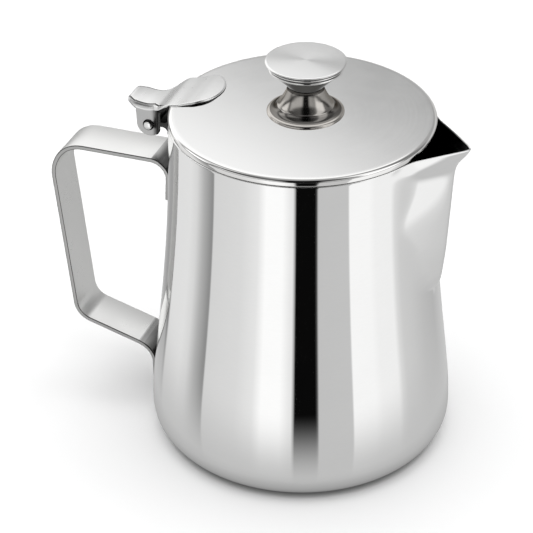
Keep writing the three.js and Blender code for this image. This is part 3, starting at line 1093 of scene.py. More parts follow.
@dataclass
class Handle(SubAssembly):
    """The bent flat strap with its two feet on the body.

    Attributes:
        sizes: Shared sizes.
        shape: The body's outer surface.
        width: Width of the strap.
        thickness: Thickness of the strap.
        edge_radius: Radius of its rounded edges.
        grip_reach: Distance from the axis to the outside of the grip's top.
        grip_lean: How much closer the grip's low end is.
        top_arm_drop: Depth of the top arm below the rim.
        top_foot_drop: Depth of the top foot's low end below the rim.
        low_arm_height: Height at which the grip meets the low arm.
        low_arm_fall: How far the low arm falls to the body.
        low_foot_height: Height of the low foot's end.
        bends: Radii at the four bends, on the outer face.
        crease: Degrees by which the strap is folded sharply where a foot's bend begins.
        crease_reach: Distance of that fold from the corner of the bend, at the top and at the low foot.
        crease_share: Radius of the fold against the thickness.
        side_painted_shade: Painted shade: share of light that the sheared sides keep.
        edge_painted_shade: The same painted shade on the rounded edges between the sides and the faces.
        valley_painted_shade: Painted shade: share of light left in the narrow valleys between the feet and
            the body.
        valley_reach: Width of a valley.
    """

    sizes: Sizes
    shape: BodyShape
    width: float = 22.0
    thickness: float = 2.2
    edge_radius: float = 0.55
    grip_reach: float = 127.2
    grip_lean: float = 11.2
    top_arm_drop: float = 28.4
    top_foot_drop: float = 50.0
    low_arm_height: float = 38.4
    low_arm_fall: float = 11.6
    low_foot_height: float = 9.0
    bends: tuple[float, ...] = (11.0, 18.0, 11.0, 10.0)
    crease: float = 9.0
    crease_reach: Point = (9.0, 7.0)
    crease_share: float = 1.5
    side_painted_shade: float = 0.55
    edge_painted_shade: float = 0.14
    valley_painted_shade: float = 0.1
    valley_reach: float = 11.0
    body: Body = Body.POT

    def _folded(self, arm: Point, corner: Point, foot: Point, reach: float) -> tuple[Point, Point]:
        """Sets the sharp fold out from the bend that leads to a foot.

        Args:
            arm: Far end of the arm.
            corner: Corner between arm and foot.
            foot: End of the foot.
            reach: Distance of the fold from the corner.

        Returns:
            The fold on the arm and the corner that is left for the bend.
        """
        middle = Vector(corner)
        out = (Vector(arm) - middle).normalized()
        down = (Vector(foot) - middle).normalized()
        turn = math.radians(self.crease)
        slip = reach * math.sin(turn) / math.sin(math.pi - out.angle(down) - turn)
        return tuple(middle + out * reach), tuple(middle + down * slip)

    def _face_line(self) -> list[Point]:
        """Lists the points of the strap's face, the outer one at the grip, from the top foot on.

        Returns:
            The points.
        """
        rim, gap = self.sizes.rim_height, self.sizes.seat_gap
        top_arm, top_end = rim - self.top_arm_drop, rim - self.top_foot_drop
        belly = self.shape.radius(self.shape.belly_height) + gap + self.thickness
        top_foot = (-self.shape.radius(top_end) - gap, top_end)
        top_corner = (-self.shape.radius(top_arm) - gap, top_arm)
        grip_top = (-self.grip_reach, top_arm)
        grip_low = (-self.grip_reach + self.grip_lean, self.low_arm_height)
        low_corner = (-belly, self.low_arm_height - self.low_arm_fall)
        low_foot = (-belly, self.low_foot_height)
        top_reach, low_reach = self.crease_reach
        top_fold, top_bend = self._folded(grip_top, top_corner, top_foot, top_reach)
        low_fold, low_bend = self._folded(grip_low, low_corner, low_foot, low_reach)
        corners = [top_foot, top_bend, top_fold, grip_top, grip_low, low_fold, low_bend, low_foot]
        first, second, third, last = self.bends
        small = self.thickness * self.crease_share
        return rounded(corners, (0, first - 2, small, second, third, small, last - 2, 0), 16)

    def _centre_line(self) -> list[Point]:
        """Moves the face's line in by half the thickness, to the left of its travel.

        Returns:
            The strap's centre line.
        """
        face = [Vector(point) for point in self._face_line()]
        line = []
        for i, point in enumerate(face):
            before = face[max(i - 1, 0)]
            after = face[min(i + 1, len(face) - 1)]
            along = (after - before).normalized()
            line.append(tuple(point + Vector((-along.y, along.x)) * self.thickness / 2))
        return line

    def build(self) -> list[bpy.types.Object]:
        """Builds the strap.

        Returns:
            The strap.
        """
        line = self._centre_line()
        start = bpy.data.meshes.new("strap_line")
        links = [(i, i + 1) for i in range(len(line) - 1)]
        start.from_pydata([(x * MM, 0, z * MM) for x, z in line], links, [])
        hug = start.attributes.new("hug", "FLOAT", "POINT")
        top_foot = self.sizes.rim_height - self.top_arm_drop - self.bends[0]
        low_foot = self.low_arm_height - self.low_arm_fall - self.bends[3]
        for i, (x, z) in enumerate(line):
            on_top = i < len(line) / 2
            share = 1 - smooth_step(abs(z - (top_foot if on_top else low_foot)), 0, self.bends[0])
            past = z < (top_foot if on_top else low_foot)
            hug.data[i].value = 1.0 if past else float(share)
        piece = STRIP.make(
            "handle_strap_bent", start, SATIN_STRAP, Width=self.width * MM, Thickness=self.thickness * MM,
            Edge_Radius=self.edge_radius * MM, Body_Radius=self.shape.radius(self.sizes.rim_height / 2) * MM,
        )
        self._round_ends(piece.data)
        tidy_mesh(piece.data, 40)
        add_uv(piece.data, lambda at: ((at.x - at.z) / self.width, at.y / self.width + 0.5))
        # Painted shade on the strap's sides, its rounded edges and the valleys at its feet.
        add_painted_light(piece.data, self._painted_shade)
        return [self.settle(piece, "handle_strap", Slot.SATIN)]

    def _painted_shade(self, face: bpy.types.MeshPolygon) -> float:
        """Gives a face's painted shade: darker on the sheared sides and their rounded edges, and in the
        valleys between feet and body.

        Args:
            face: The face.

        Returns:
            The share of light that it keeps.
        """
        place, normal = face.center / MM, face.normal
        across = abs(normal.y)
        side = 1.0
        if across > 0.9:
            side = self.side_painted_shade
        elif across > 0.45:
            side = self.edge_painted_shade
        room = -place.x - self.shape.radius(place.z) - self.thickness
        faces_body = normal.x > 0.08 and normal.z > -0.2
        valley = float(smooth_step(room, 0.5, self.valley_reach)) if faces_body else 1.0
        return side * (self.valley_painted_shade + (1 - self.valley_painted_shade) * valley)

    def _round_ends(self, mesh: bpy.types.Mesh) -> None:
        """Bevels the edges of the strap's two ends.

        Args:
            mesh: The strap's mesh.
        """
        work = bmesh.new()
        work.from_mesh(mesh)
        caps = [face for face in work.faces if len(face.verts) > 4]
        edges = list({edge for face in caps for edge in face.edges})
        bmesh.ops.bevel(
            work, geom=edges, offset=self.edge_radius * MM, segments=4, profile=0.5,
            affect="EDGES", clamp_overlap=True,
        )
        work.to_mesh(mesh)
        work.free()


@dataclass
class HingeBracket(SubAssembly):
    """The pad, tongue and rolled knuckle on the body's back.

    Attributes:
        sizes: Shared sizes.
        shape: The body's outer surface.
        length: Length of the knuckle along the pin.
        sheet: Sheet thickness.
        knuckle_radius: Outer radius of the rolled eye.
        pin_radius: Radius of the pin.
        running_gap: Gap round the pin.
        top_drop: Depth of the pad's top below the rim.
        low_drop: Depth of the pad's low end below the rim.
        edge_radius: Radius of the edges along its two sides.
        eye_painted_shade: Painted shade: share of light that the eye keeps between the ears.
        pad_painted_shade: The same painted shade on the pad below it.
    """

    sizes: Sizes
    shape: BodyShape
    length: float = 14.2
    sheet: float = 1.9
    knuckle_radius: float = 4.2
    pin_radius: float = 1.7
    running_gap: float = 0.3
    top_drop: float = 5.0
    low_drop: float = 16.5
    edge_radius: float = 0.25
    eye_painted_shade: float = 0.06
    pad_painted_shade: float = 0.6
    body: Body = Body.POT

    def _outline(self) -> list[Point]:
        """Lists the bracket's side view: up the pad, round the eye and back.

        Returns:
            The closed outline.
        """
        rim, gap = self.sizes.rim_height, self.sizes.seat_gap
        high, low = rim - self.top_drop, rim - self.low_drop
        near, far = -self.shape.radius(high) - gap, -self.shape.radius(low) - gap
        pin_x, pin_z = -self.sizes.pin_reach, self.sizes.pin_height
        eye = self.knuckle_radius
        bore = self.pin_radius + self.running_gap
        under = pin_z - self.sheet / 2
        over = pin_z + self.sheet / 2
        start = math.asin(self.sheet / 2 / eye)
        outer = [
            (pin_x + eye * math.cos(turn), pin_z + eye * math.sin(turn))
            for turn in np.linspace(start, 2 * math.pi - start - 0.5, 30)
        ]
        inner = [
            (pin_x + bore * math.cos(turn), pin_z + bore * math.sin(turn))
            for turn in np.linspace(2 * math.pi - start - 0.5, start * 0.2, 30)
        ]
        back = far - self.sheet
        pad = rounded([
            (near, high - 2), (near, high), (near - self.sheet, high), (back + 1, over), (pin_x + eye, over),
        ], (0, 0.5, 0.8, 2.5, 0), 5)
        bottom = rounded([
            (pin_x + bore, under), (back, under), (back, low), (far, low), (far, low + 2),
        ], (0, 2.5, 0.8, 0.4, 0), 5)
        return [*pad[:-1], *outer, *inner, *bottom]

    def build(self) -> list[bpy.types.Object]:
        """Builds the bracket.

        Returns:
            The bracket.
        """
        outline = self._outline()
        count = len(outline)
        points = [(x, side * self.length / 2, z) for side in (-1, 1) for x, z in outline]
        faces: list[tuple[int, ...]] = [tuple(range(count)), tuple(range(2 * count - 1, count - 1, -1))]
        faces += [(k, (k + 1) % count, count + (k + 1) % count, count + k) for k in range(count)]
        mesh = polygon_mesh("hinge_bracket_rolled", np.array(points), faces)
        work = bmesh.new()
        work.from_mesh(mesh)
        rims = [edge for edge in work.edges if abs(edge.verts[0].co.y - edge.verts[1].co.y) < MM * 0.01]
        bmesh.ops.bevel(
            work, geom=rims, offset=self.edge_radius * MM, segments=3, profile=0.5,
            affect="EDGES", clamp_overlap=True,
        )
        bmesh.ops.triangulate(work, faces=[face for face in work.faces if len(face.verts) > 4])
        work.to_mesh(mesh)
        work.free()
        tidy_mesh(mesh, 30, 0.0005)
        mesh.materials.append(SATIN_LEAF.material())
        # Painted shade: the eye between the ears is nearly black, and the pad below it is darkened.
        eye_low = self.sizes.pin_height - 3
        add_painted_light(mesh, lambda face: self.eye_painted_shade if face.center.z / MM > eye_low else self.pad_painted_shade)
        return [self.settle(new_piece("hinge_bracket_rolled", mesh), "hinge_bracket", Slot.PLAIN)]


@dataclass
class Lid(SubAssembly):
    """The shallow lid pressing with its locating ring.

    Attributes:
        sizes: Shared sizes.
        lip_height: Height of the lid's edge, roll included.
        roll: Radius of the rolled edge.
        dome: Rise of the middle.
        sheet: Sheet thickness.
        skirt_inset: How far inside the edge the ring stands.
        skirt_depth: How far it reaches below the rim.
        skirt_sheet: Its sheet thickness.
        skirt_flange: Width of its welded flange.
    """

    sizes: Sizes
    lip_height: float = 3.2
    roll: float = 2.0
    dome: float = 0.3
    sheet: float = 0.9
    skirt_inset: float = 4.0
    skirt_depth: float = 4.0
    skirt_sheet: float = 0.8
    skirt_flange: float = 4.5
    body: Body = Body.LID

    @property
    def edge_top(self) -> float:
        """Height of the lid's edge above the rim."""
        return self.sizes.seat_gap + self.lip_height

    @property
    def top(self) -> float:
        """Height of the lid's middle above the rim."""
        return self.edge_top + self.dome

    def height(self, radius: float) -> float:
        """Gives the height of the upper face above the rim, at a radius."""
        part = min(radius / (self.sizes.rim_radius - self.roll), 1)
        return self.top - self.dome * part * part

    def _plate_profile(self) -> list[Point]:
        """Lists the lid's section from the middle over the edge and back underneath.

        Returns:
            The open profile.
        """
        flat = self.sizes.rim_radius - self.roll
        outer = [(flat * part, self.height(flat * part)) for part in np.linspace(0, 1, 34) ** 0.8]
        for turn in np.linspace(0, math.pi / 2, 14)[1:]:
            drop = self.roll * (1 - math.cos(turn))
            outer.append((flat + self.roll * math.sin(turn), self.edge_top - drop))
        lip = rounded([
            outer[-1], (self.sizes.rim_radius, self.sizes.seat_gap),
            (self.sizes.rim_radius - self.sheet, self.sizes.seat_gap),
            (self.sizes.rim_radius - self.sheet, self.edge_top - self.sheet),
            (flat - 2, self.edge_top - self.sheet),
        ], (0, 0.35, 0.35, 1.1, 0), 6)
        inner = [(flat * part, self.height(flat * part) - self.sheet) for part in np.linspace(0.95, 0, 16)]
        return [*outer, *lip[1:-1], *inner]

    def _skirt_profile(self) -> list[Point]:
        """Lists the ring's closed section.

        Returns:
            The closed profile.
        """
        outer = self.sizes.rim_radius - self.skirt_inset
        inner = outer - self.skirt_sheet
        flange = inner - self.skirt_flange
        top = self.height(outer) - self.sheet - self.sizes.seat_gap
        low = -self.skirt_depth
        under = top - self.skirt_sheet
        soft = self.skirt_sheet * 0.45
        return rounded([
            (inner, 0), (inner, low), (outer, low), (outer, top),
            (flange, top), (flange, under), (inner, under), (inner, 0),
        ], (0, soft, soft, 1.4, soft, soft, 0.6, 0), 5)

    def build(self) -> list[bpy.types.Object]:
        """Builds the lid's sheet and its ring.

        Returns:
            The sheet and the ring.
        """
        place = (0, 0, self.sizes.rim_height)
        plate = TURNED.turn("lid_plate_fine", self._plate_profile(), SATIN_LID, 256, place)
        plate.data.materials.append(BRIGHT_EDGE.material())
        flat = (self.sizes.rim_radius - self.roll) * MM
        for face in plate.data.polygons:
            face.material_index = int(math.hypot(face.center.x, face.center.y) > flat)
        add_painted_light(plate.data, lambda face: 1.0)
        skirt = TURNED.turn("lid_skirt_fine", self._skirt_profile(), SATIN_LEAF, 200, place)
        add_painted_light(skirt.data, lambda face: 0.9)
        return [self.settle(plate, "lid_plate", Slot.MIRROR), self.settle(skirt, "lid_skirt", Slot.SATIN)]


@dataclass
class Hinge(SubAssembly):
    """The pressed leaf with its thumb tab and ears, and the rivet through them.

    Attributes:
        sizes: Shared sizes.
        lid: The lid that the leaf sits on.
        sheet: Sheet thickness of the leaf.
        edge_round: Width of the leaf's rounded edge, at the ears and on the lid.
        edge_drop: Its depth there.
        undercut: How far the edge on the lid leans inward, as a share of its height.
        crown: How much the leaf's middle stands above its sides.
        leaf_height: Height of the leaf's end above the lid.
        leaf_length: Length of the leaf on the lid.
        half_width: Half the leaf's width on the lid.
        end_round: Length of its round end.
        ear_radius: Radius of the ears' ends about the pin.
        ear_outside: Distance from the middle to the outside of an ear.
        tab_out: Reach of the tab beyond the pin.
        tab_rise: Height of the tab's end above the rim.
        tab_half_width: Half the tab's width at its end.
        tab_round: Radius of the tab's corners.
        dip_out: Where the leaf dips, beyond the rim.
        dip_drop: Depth of the leaf there, below the rim.
        climb: Height of the leaf above the rim halfway from there to the lid's edge.
        ramp: How the leaf climbs over the lid's edge: distance inside it and share of the whole height.
        waist: How the leaf widens from the ears: distance inside the pin and share of the widening.
        flange: Height of the pressed edge at the ears and at the tab's end.
        pin_radius: Radius of the rivet's shank.
        head_radius: Radius of its round heads.
        head_height: Height of its heads.
        head_share: Share of a head's radius inside its ring of painted shade.
        ring_painted_shade: Share of light that the ring of painted shade keeps.
        edge_painted_shade: Painted shade: share of light that the pressed edge keeps where it stands on the
            lid.
    """

    sizes: Sizes
    lid: Lid
    sheet: float = 1.2
    edge_round: Point = (2.2, 0.8)
    edge_drop: Point = (3.0, 0.9)
    undercut: float = 0.9
    crown: float = 0.3
    leaf_height: float = 4.4
    leaf_length: float = 23.1
    half_width: float = 15.0
    end_round: float = 11.0
    ear_radius: float = 5.8
    ear_outside: float = 9.0
    tab_out: float = 11.5
    tab_rise: float = 0.6
    tab_half_width: float = 6.5
    tab_round: float = 3.0
    dip_out: float = 12.4
    dip_drop: float = 1.2
    climb: float = 0.0
    ramp: tuple[Point, ...] = ((1.4, 0.02), (5.6, 0.22), (11.6, 0.68), (17.6, 1.0))
    waist: tuple[Point, ...] = ((2.4, 0.0), (4.8, 0.25), (8.4, 0.75), (11.6, 1.0))
    flange: Point = (3.4, 2.0)
    pin_radius: float = 1.7
    head_radius: float = 2.75
    head_height: float = 1.6
    head_share: float = 0.72
    ring_painted_shade: float = 0.03
    edge_painted_shade: float = 0.05
    body: Body = Body.LID

    def __post_init__(self) -> None:
        """Fits the curves of the leaf's upper face and of its half width."""
        rim, pin = self.sizes.rim_radius, self.sizes.pin_reach
        on_lid = self.lid.top + self.sizes.seat_gap
        side = rim + self.sizes.seat_gap
        end = rim - self.leaf_length
        tab = pin + self.tab_out
        dip = rim + self.dip_out
        climbing = [-rim + inside for inside, _ in self.ramp]
        places = [-tab, -(tab + dip) / 2, -dip, -(dip + side) / 2, *climbing, -end]
        heights = [
            self.tab_rise, (self.tab_rise - self.dip_drop) / 2 - self.sheet / 4, -self.dip_drop,
            self.climb, *(on_lid + self.leaf_height * share for _, share in self.ramp),
            on_lid + self.leaf_height,
        ]
        self._upper = curve_through(places, heights)
        wider = self.half_width - self.ear_outside
        widening = [-pin + inside for inside, _ in self.waist]
        widths = [self.ear_outside + wider * share for _, share in self.waist]
        self._half = curve_through(
            [-tab, -pin - self.ear_radius, *widening, -end],
            [self.tab_half_width, self.ear_outside, *widths, self.half_width],
        )
        self._end, self._tab = end, tab

    def _half_plan(self) -> list[Point]:
        """Lists one side of the leaf from above, from its round end to the tab's middle.

        Returns:
            The points.
        """
        middle = -self._end - self.end_round
        clear = 0.35
        near = -self.sizes.pin_reach + self.ear_radius + clear
        far = -self.sizes.pin_reach - self.ear_radius - clear
        end = [
            (middle + self.end_round * math.cos(turn), self.half_width * math.sin(turn))
            for turn in np.linspace(0, math.pi / 2, 34)
        ]
        waist = [(x, float(self._half(x))) for x in np.linspace(middle, near, 36)]
        turns = np.linspace(0, math.pi, 34)
        ear = [(x, float(self._half(x))) for x in -self.sizes.pin_reach + self.ear_radius * np.cos(turns)]
        side = [(x, float(self._half(x))) for x in np.linspace(far, -self._tab + self.tab_round, 12)]
        corner = [side[-1], (-self._tab, self.tab_half_width), (-self._tab, 0)]
        tab = rounded(corner, (0, self.tab_round, 0), 8)
        return [*end[:-1], *waist, *ear, *side, *spaced(tab, 0.5)[1:]]

    def _bottom(self, x: float, y: float) -> float:
        """Gives the height of the pressed edge's lower end above the rim.

        Args:
            x: Place along the leaf.
            y: Place across it.

        Returns:
            The height.
        """
        radius = math.hypot(x, y)
        off = x + self.sizes.pin_reach
        ear_low = self.sizes.pin_height - self.sizes.rim_height
        if abs(off) <= self.ear_radius + 1e-6:
            return ear_low - math.sqrt(max(self.ear_radius**2 - off**2, 0))
        top = float(self._upper(x))
        if off > 0:
            on_lid = self.lid.height(radius) + 0.06
            free = top - self.flange[0]
            share = float(smooth_step(radius, self.sizes.rim_radius, self.sizes.rim_radius + 2.5))
            return on_lid + (free - on_lid) * share
        part = min((-off - self.ear_radius) / (self.tab_out - self.ear_radius), 1)
        return top - self.flange[0] + (self.flange[0] - self.flange[1]) * part

    def _leaf_rings(self) -> list[np.ndarray]:
        """Lists the leaf's rings: from its middle out over the top, down outside, up inside and back.

        Returns:
            The rings.
        """
        half = self._half_plan()
        plan = np.array([*half, *[(x, -y) for x, y in half[-2:0:-1]]])
        step = np.roll(plan, -1, 0) - np.roll(plan, 1, 0)
        normal = np.column_stack([step[:, 1], -step[:, 0]])
        normal /= np.linalg.norm(normal, axis=1)[:, None]
        if (normal[0] @ np.array([1, 0])) < 0:
            normal = -normal
        spine = np.column_stack([np.clip(plan[:, 0], -self._tab + 3, -self._end - 10), np.zeros(len(plan))])
        low = np.array([self._bottom(x, y) for x, y in plan])

        def ring(inset: np.ndarray | float, drop: np.ndarray | float, share: float = 0.0) -> np.ndarray:
            """Places a ring on the top face, inset from the edge and dropped below the face.

            Args:
                inset: Distance from the edge.
                drop: Depth below the face.
                share: How far it is drawn in to the spine.

            Returns:
                The ring's places.
            """
            flat = plan - normal * np.reshape(inset, (-1, 1))
            flat = flat + (spine - flat) * share
            across = np.clip(np.abs(flat[:, 1]) / self._half(flat[:, 0]), 0, 1)
            height = self._upper(flat[:, 0]) - self.crown * across**2 - drop
            return np.column_stack([flat, height])

        def wall(inset: float, part: float, top: np.ndarray) -> np.ndarray:
            """Places a ring on the pressed edge, part of the way down from a ring above.

            Args:
                inset: Distance inside the outer side.
                part: Share of the way down.
                top: The ring above.

            Returns:
                The ring's places.
            """
            flat = plan - normal * np.reshape(inset + under * max(part - 0.12, 0) / 0.88, (-1, 1))
            return np.column_stack([flat, top[:, 2] + (low - top[:, 2]) * part])

        at_rim = smooth_step(plan[:, 0], -self.sizes.pin_reach + 2, -self.sizes.rim_radius)
        room = self._upper(plan[:, 0]) - low
        across = self.edge_round[0] + (self.edge_round[1] - self.edge_round[0]) * at_rim
        deep = np.minimum(self.edge_drop[0] + (self.edge_drop[1] - self.edge_drop[0]) * at_rim, 0.8 * room)
        inward, rim = -np.hypot(plan[:, 0], plan[:, 1]), -self.sizes.rim_radius
        over_lid = smooth_step(inward, rim - 1, rim + 3)
        under = self.undercut * over_lid * np.maximum(room - deep, 0)
        rings = [ring(across, 0, share) for share in (1, 0.85, 0.7, 0.55, 0.4, 0.26, 0.14, 0.05)]
        turns = np.linspace(0, math.pi / 2, 10)
        rings += [ring(across * (1 - math.sin(turn)), deep * (1 - math.cos(turn))) for turn in turns]
        outer_top = rings[-1]
        parts = (0.12, 0.25, 0.4, 0.55, 0.7, 0.85)
        rings += [wall(0, part, outer_top) for part in parts]
        soft = 0.25
        rings += [wall(0, 1, outer_top) + (0, 0, soft), wall(soft, 1, outer_top)]
        inner_top = ring(self.sheet, self.sheet)
        rings += [wall(self.sheet - soft, 1, inner_top), wall(self.sheet, 1, inner_top) + (0, 0, soft)]
        rings += [wall(self.sheet, part, inner_top) for part in parts[::-1]]
        rings += [ring(self.sheet, self.sheet, share) for share in (0, 0.15, 0.4, 0.7, 1)]
        return rings

    def _leaf(self) -> bpy.types.Object:
        """Builds the leaf.

        Returns:
            The leaf.
        """
        rings = self._leaf_rings()
        points = np.vstack(rings) + (0, 0, self.sizes.rim_height)
        mesh = polygon_mesh("hinge_leaf_pressed", points, ring_faces(len(rings), len(rings[0])))
        tidy_mesh(mesh, 38, 0.01)
        add_uv(mesh, lambda at: (at.x / 40, at.y / 40 + 0.5))
        mesh.materials.append(SATIN_LEAF.material())
        # Painted shade on the leaf's pressed edge, its ears and a line along its top edge.
        add_painted_light(mesh, self._painted_shade)
        return new_piece("hinge_leaf_pressed", mesh)

    def _painted_shade(self, face: bpy.types.MeshPolygon) -> float:
        """Gives a face's painted shade: dark on the pressed edge over the lid, grey on the ears and darker
        towards the lid, and a dark painted line along the top face's rounded edge off the lid.

        Args:
            face: The face.

        Returns:
            The share of light that it keeps.
        """
        x, pin = face.center.x / MM, self.sizes.pin_reach
        on_lid = float(smooth_step(x, -self.sizes.rim_radius - 4, -self.sizes.rim_radius))
        if face.normal.z > 0.15:
            inset = float(self._half(x)) - abs(face.center.y / MM)
            line = self.edge_round[0] * 0.62 < inset < self.edge_round[0] * 0.98
            return 1.0 - 0.85 * (1 - on_lid) if line else 1.0
        ear = 0.6 - 0.5 * float(smooth_step(x, 1.0 - pin, self.ear_radius - pin))
        return ear + (self.edge_painted_shade - ear) * on_lid

    def _rivet(self) -> bpy.types.Object:
        """Builds the rivet with a round head at each end.

        Returns:
            The rivet.
        """
        seat, under = self.ear_outside + 0.03, self.ear_outside - 0.1
        dome = [
            (self.head_radius * math.cos(turn) ** 0.8, seat + self.head_height * math.sin(turn))
            for turn in np.linspace(0, math.pi / 2, 14)[:-1]
        ]
        end = [
            (self.pin_radius, under), (self.head_radius - 0.2, under), *dome, (0, seat + self.head_height),
        ]
        profile = [(r, -z) for r, z in end[::-1]] + end
        piece = TURNED.turn("hinge_rivet", profile, BRIGHT_PIN, 64)
        # Painted shade: a dark ring round the edge of each head.
        brow = self.head_radius * self.head_share * MM
        dark = self.ring_painted_shade
        add_painted_light(piece.data, lambda face: dark if math.hypot(face.center.x, face.center.y) > brow else 1.0)
        turn = Matrix.Rotation(math.pi / 2, 4, "X")
        place = Matrix.Translation(Vector((-self.sizes.pin_reach, 0, self.sizes.pin_height)) * MM)
        piece.data.transform(place @ turn)
        return piece

    def build(self) -> list[bpy.types.Object]:
        """Builds the leaf and the rivet.

        Returns:
            The leaf and the rivet.
        """
        leaf = self._leaf()
        # Its black image would show on the satin lid.
        leaf.visible_glossy = False
        return [
            self.settle(leaf, "hinge_leaf", Slot.SATIN),
            self.settle(self._rivet(), "hinge_pin", Slot.MIRROR),
        ]


@dataclass
class Knob(SubAssembly):
    """The turned knob: a flared base and a cap with a brushed top, drawn to the lid by a stud.

    Attributes:
        sizes: Shared sizes.
        lid: The lid that the knob stands on.
        offset: How far the knob stands from the middle, towards the spout.
        height: Height of the knob.
        base_radius: Radius of the base.
        base_height: Height of the base.
        neck_radius: Radius at the joint of base and cap.
        cap_radius: Radius of the cap.
        stud_radius: Radius of the stud.
        stud_top: Height of the stud's end above the seat.
        stud_proud: How far the stud stands out of the nut.
        thread_pitch: Pitch of its thread.
        washer_radius: Radius of the washer.
        washer_thickness: Its thickness.
        nut_across: Width of the nut across its flats.
        nut_height: Its height.
        foot_shares: Outline of the base's lip: spread beyond the neck and height.
        ring_shares: Outline of the hollow ring above it.
        flare_shares: Outline from the step to the joint.
        cap_shares: Outline of the cap: spread beyond the neck and height.
        groove_shares: From what to what share of the cap's height its grooves run, painted dark with shade.
        groove_painted_shade: Painted shade: share of light that the grooves keep.
        cone_share: Share of the cap's height that is its cone.
        cone_painted_shade: Painted shade: share of light that the cone keeps.
        foot_painted_light: Painted light on the base: a painted highlight on its lip, and painted shade in
            its hollow ring and on the edge at its joint.
        joint_share: Share of the base's height below that edge.
        top_dome: Rise of the middle of the cap's top.
    """

    sizes: Sizes
    lid: Lid
    offset: float = 1.5
    height: float = 26.6
    base_radius: float = 17.8
    base_height: float = 13.0
    neck_radius: float = 8.3
    cap_radius: float = 18.6
    stud_radius: float = 2.5
    stud_top: float = 20.0
    stud_proud: float = 0.8
    thread_pitch: float = 0.8
    washer_radius: float = 6.5
    washer_thickness: float = 1.0
    nut_across: float = 8.0
    nut_height: float = 4.0
    foot_shares: tuple[Point, ...] = ((0.95, 0), (1, 0.03), (1, 0.09), (0.95, 0.13), (0.853, 0.146))
    ring_shares: tuple[Point, ...] = (
        (0.853, 0.146), (0.76, 0.16), (0.66, 0.2), (0.58, 0.262), (0.53, 0.32), (0.51, 0.345),
    )
    flare_shares: tuple[Point, ...] = (
        (0.51, 0.345), (0.495, 0.36), (0.455, 0.385), (0.33, 0.51),
        (0.2, 0.67), (0.095, 0.83), (0.025, 0.95), (0, 1),
    )
    cap_shares: tuple[Point, ...] = (
        (-0.06, 0), (-0.06, 0.045), (0, 0.068), (0.02, 0.09), (0.786, 0.68), (0.85, 0.695), (0.875, 0.73),
        (0.86, 0.765), (0.815, 0.78), (0.815, 0.825), (0.9, 0.835), (0.94, 0.865), (0.93, 0.89), (0.88, 0.9),
        (0.88, 0.94), (0.97, 0.948), (1, 0.967), (1, 0.985), (0.97, 1),
    )
    groove_shares: tuple[Point, ...] = ((-0.01, 0.06), (0.77, 0.832), (0.892, 0.944))
    groove_painted_shade: float = 0.04
    cone_share: float = 0.67
    cone_painted_shade: float = 0.27
    foot_painted_light: Place = (1.25, 0.5, 0.3)
    joint_share: float = 0.955
    top_dome: float = 0.35
    body: Body = Body.LID

    @property
    def seat(self) -> Place:
        """Where the knob's axis meets its seat on the lid."""
        return (self.offset, 0, self.sizes.rim_height + self.lid.top + self.sizes.seat_gap)

    def _outline(self, shares: Sequence[Point], spread: float, height: float, soft: float) -> list[Point]:
        """Turns shares into an outline with softened corners.

        Args:
            shares: Each point's spread beyond the neck and height, as shares.
            spread: Radius beyond the neck at a share of 1.
            height: Height at a share of 1.
            soft: Largest radius at a corner.

        Returns:
            The outline.
        """
        points = [(self.neck_radius + out * spread, up * height) for out, up in shares]
        radii = [0.0]
        for before, here, after in zip(points, points[1:], points[2:]):
            room = min(math.dist(before, here), math.dist(here, after))
            radii.append(min(soft, room * 0.45 / max(self._bend(before, here, after), 0.05)))
        return rounded(points, [*radii, 0.0], 6)

    def _swept(self, shares: Sequence[Point], spread: float, height: float, count: int) -> list[Point]:
        """Turns shares into a smooth line of points.

        Args:
            shares: Each point's spread beyond the neck and height, as shares.
            spread: Radius beyond the neck at a share of 1.
            height: Height at a share of 1.
            count: Number of points.

        Returns:
            The line.
        """
        points = np.array([(self.neck_radius + out * spread, up * height) for out, up in shares])
        steps = np.linalg.norm(np.diff(points, axis=0), axis=1)
        along = [0.0, *np.cumsum(steps)]
        places = np.linspace(0, along[-1], count)
        across, up = (curve_through(along, points[:, side])(places) for side in (0, 1))
        return [(float(r), float(z)) for r, z in zip(across, up)]

    @staticmethod
    def _bend(before: Point, here: Point, after: Point) -> float:
        """Gives the tangent of half the turn at a corner.

        Args:
            before: Point before the corner.
            here: The corner.
            after: Point after it.

        Returns:
            The tangent.
        """
        inward = Vector(here) - Vector(before)
        outward = Vector(after) - Vector(here)
        return math.tan(min(inward.angle(outward) / 2, 1.4))

    def _base(self) -> bpy.types.Object:
        """Builds the flared base.

        Returns:
            The base.
        """
        bore = self.stud_radius + self.sizes.seat_gap
        spread = self.base_radius - self.neck_radius
        foot = self._outline(self.foot_shares, spread, self.base_height, 12)
        hollow = self._swept(self.ring_shares, spread, self.base_height, 16)
        flare = self._swept(self.flare_shares, spread, self.base_height, 48)
        profile = [(bore, 0), *foot, *hollow[1:], *flare[1:], (bore, self.base_height), (bore, 0)]
        piece = TURNED.turn("knob_base_flared", profile, TURNED_NICKEL, 180, self.seat)
        # Painted light: a highlight on the lip, shade in the hollow ring and at the joint.
        lip, ring, joint = self.foot_painted_light

        def painted_light(face: bpy.types.MeshPolygon) -> float:
            """Paints a highlight on the lip, and shade in the hollow ring and on the edge at the joint.

            Args:
                face: A face of the base.

            Returns:
                The share of light that it keeps.
            """
            up = (face.center.z / MM - self.seat[2]) / self.base_height
            if up < self.foot_shares[-1][1]:
                return lip
            if up < self.ring_shares[-1][1]:
                return ring
            return joint if up > self.joint_share else 1.0

        add_painted_light(piece.data, painted_light)
        return piece

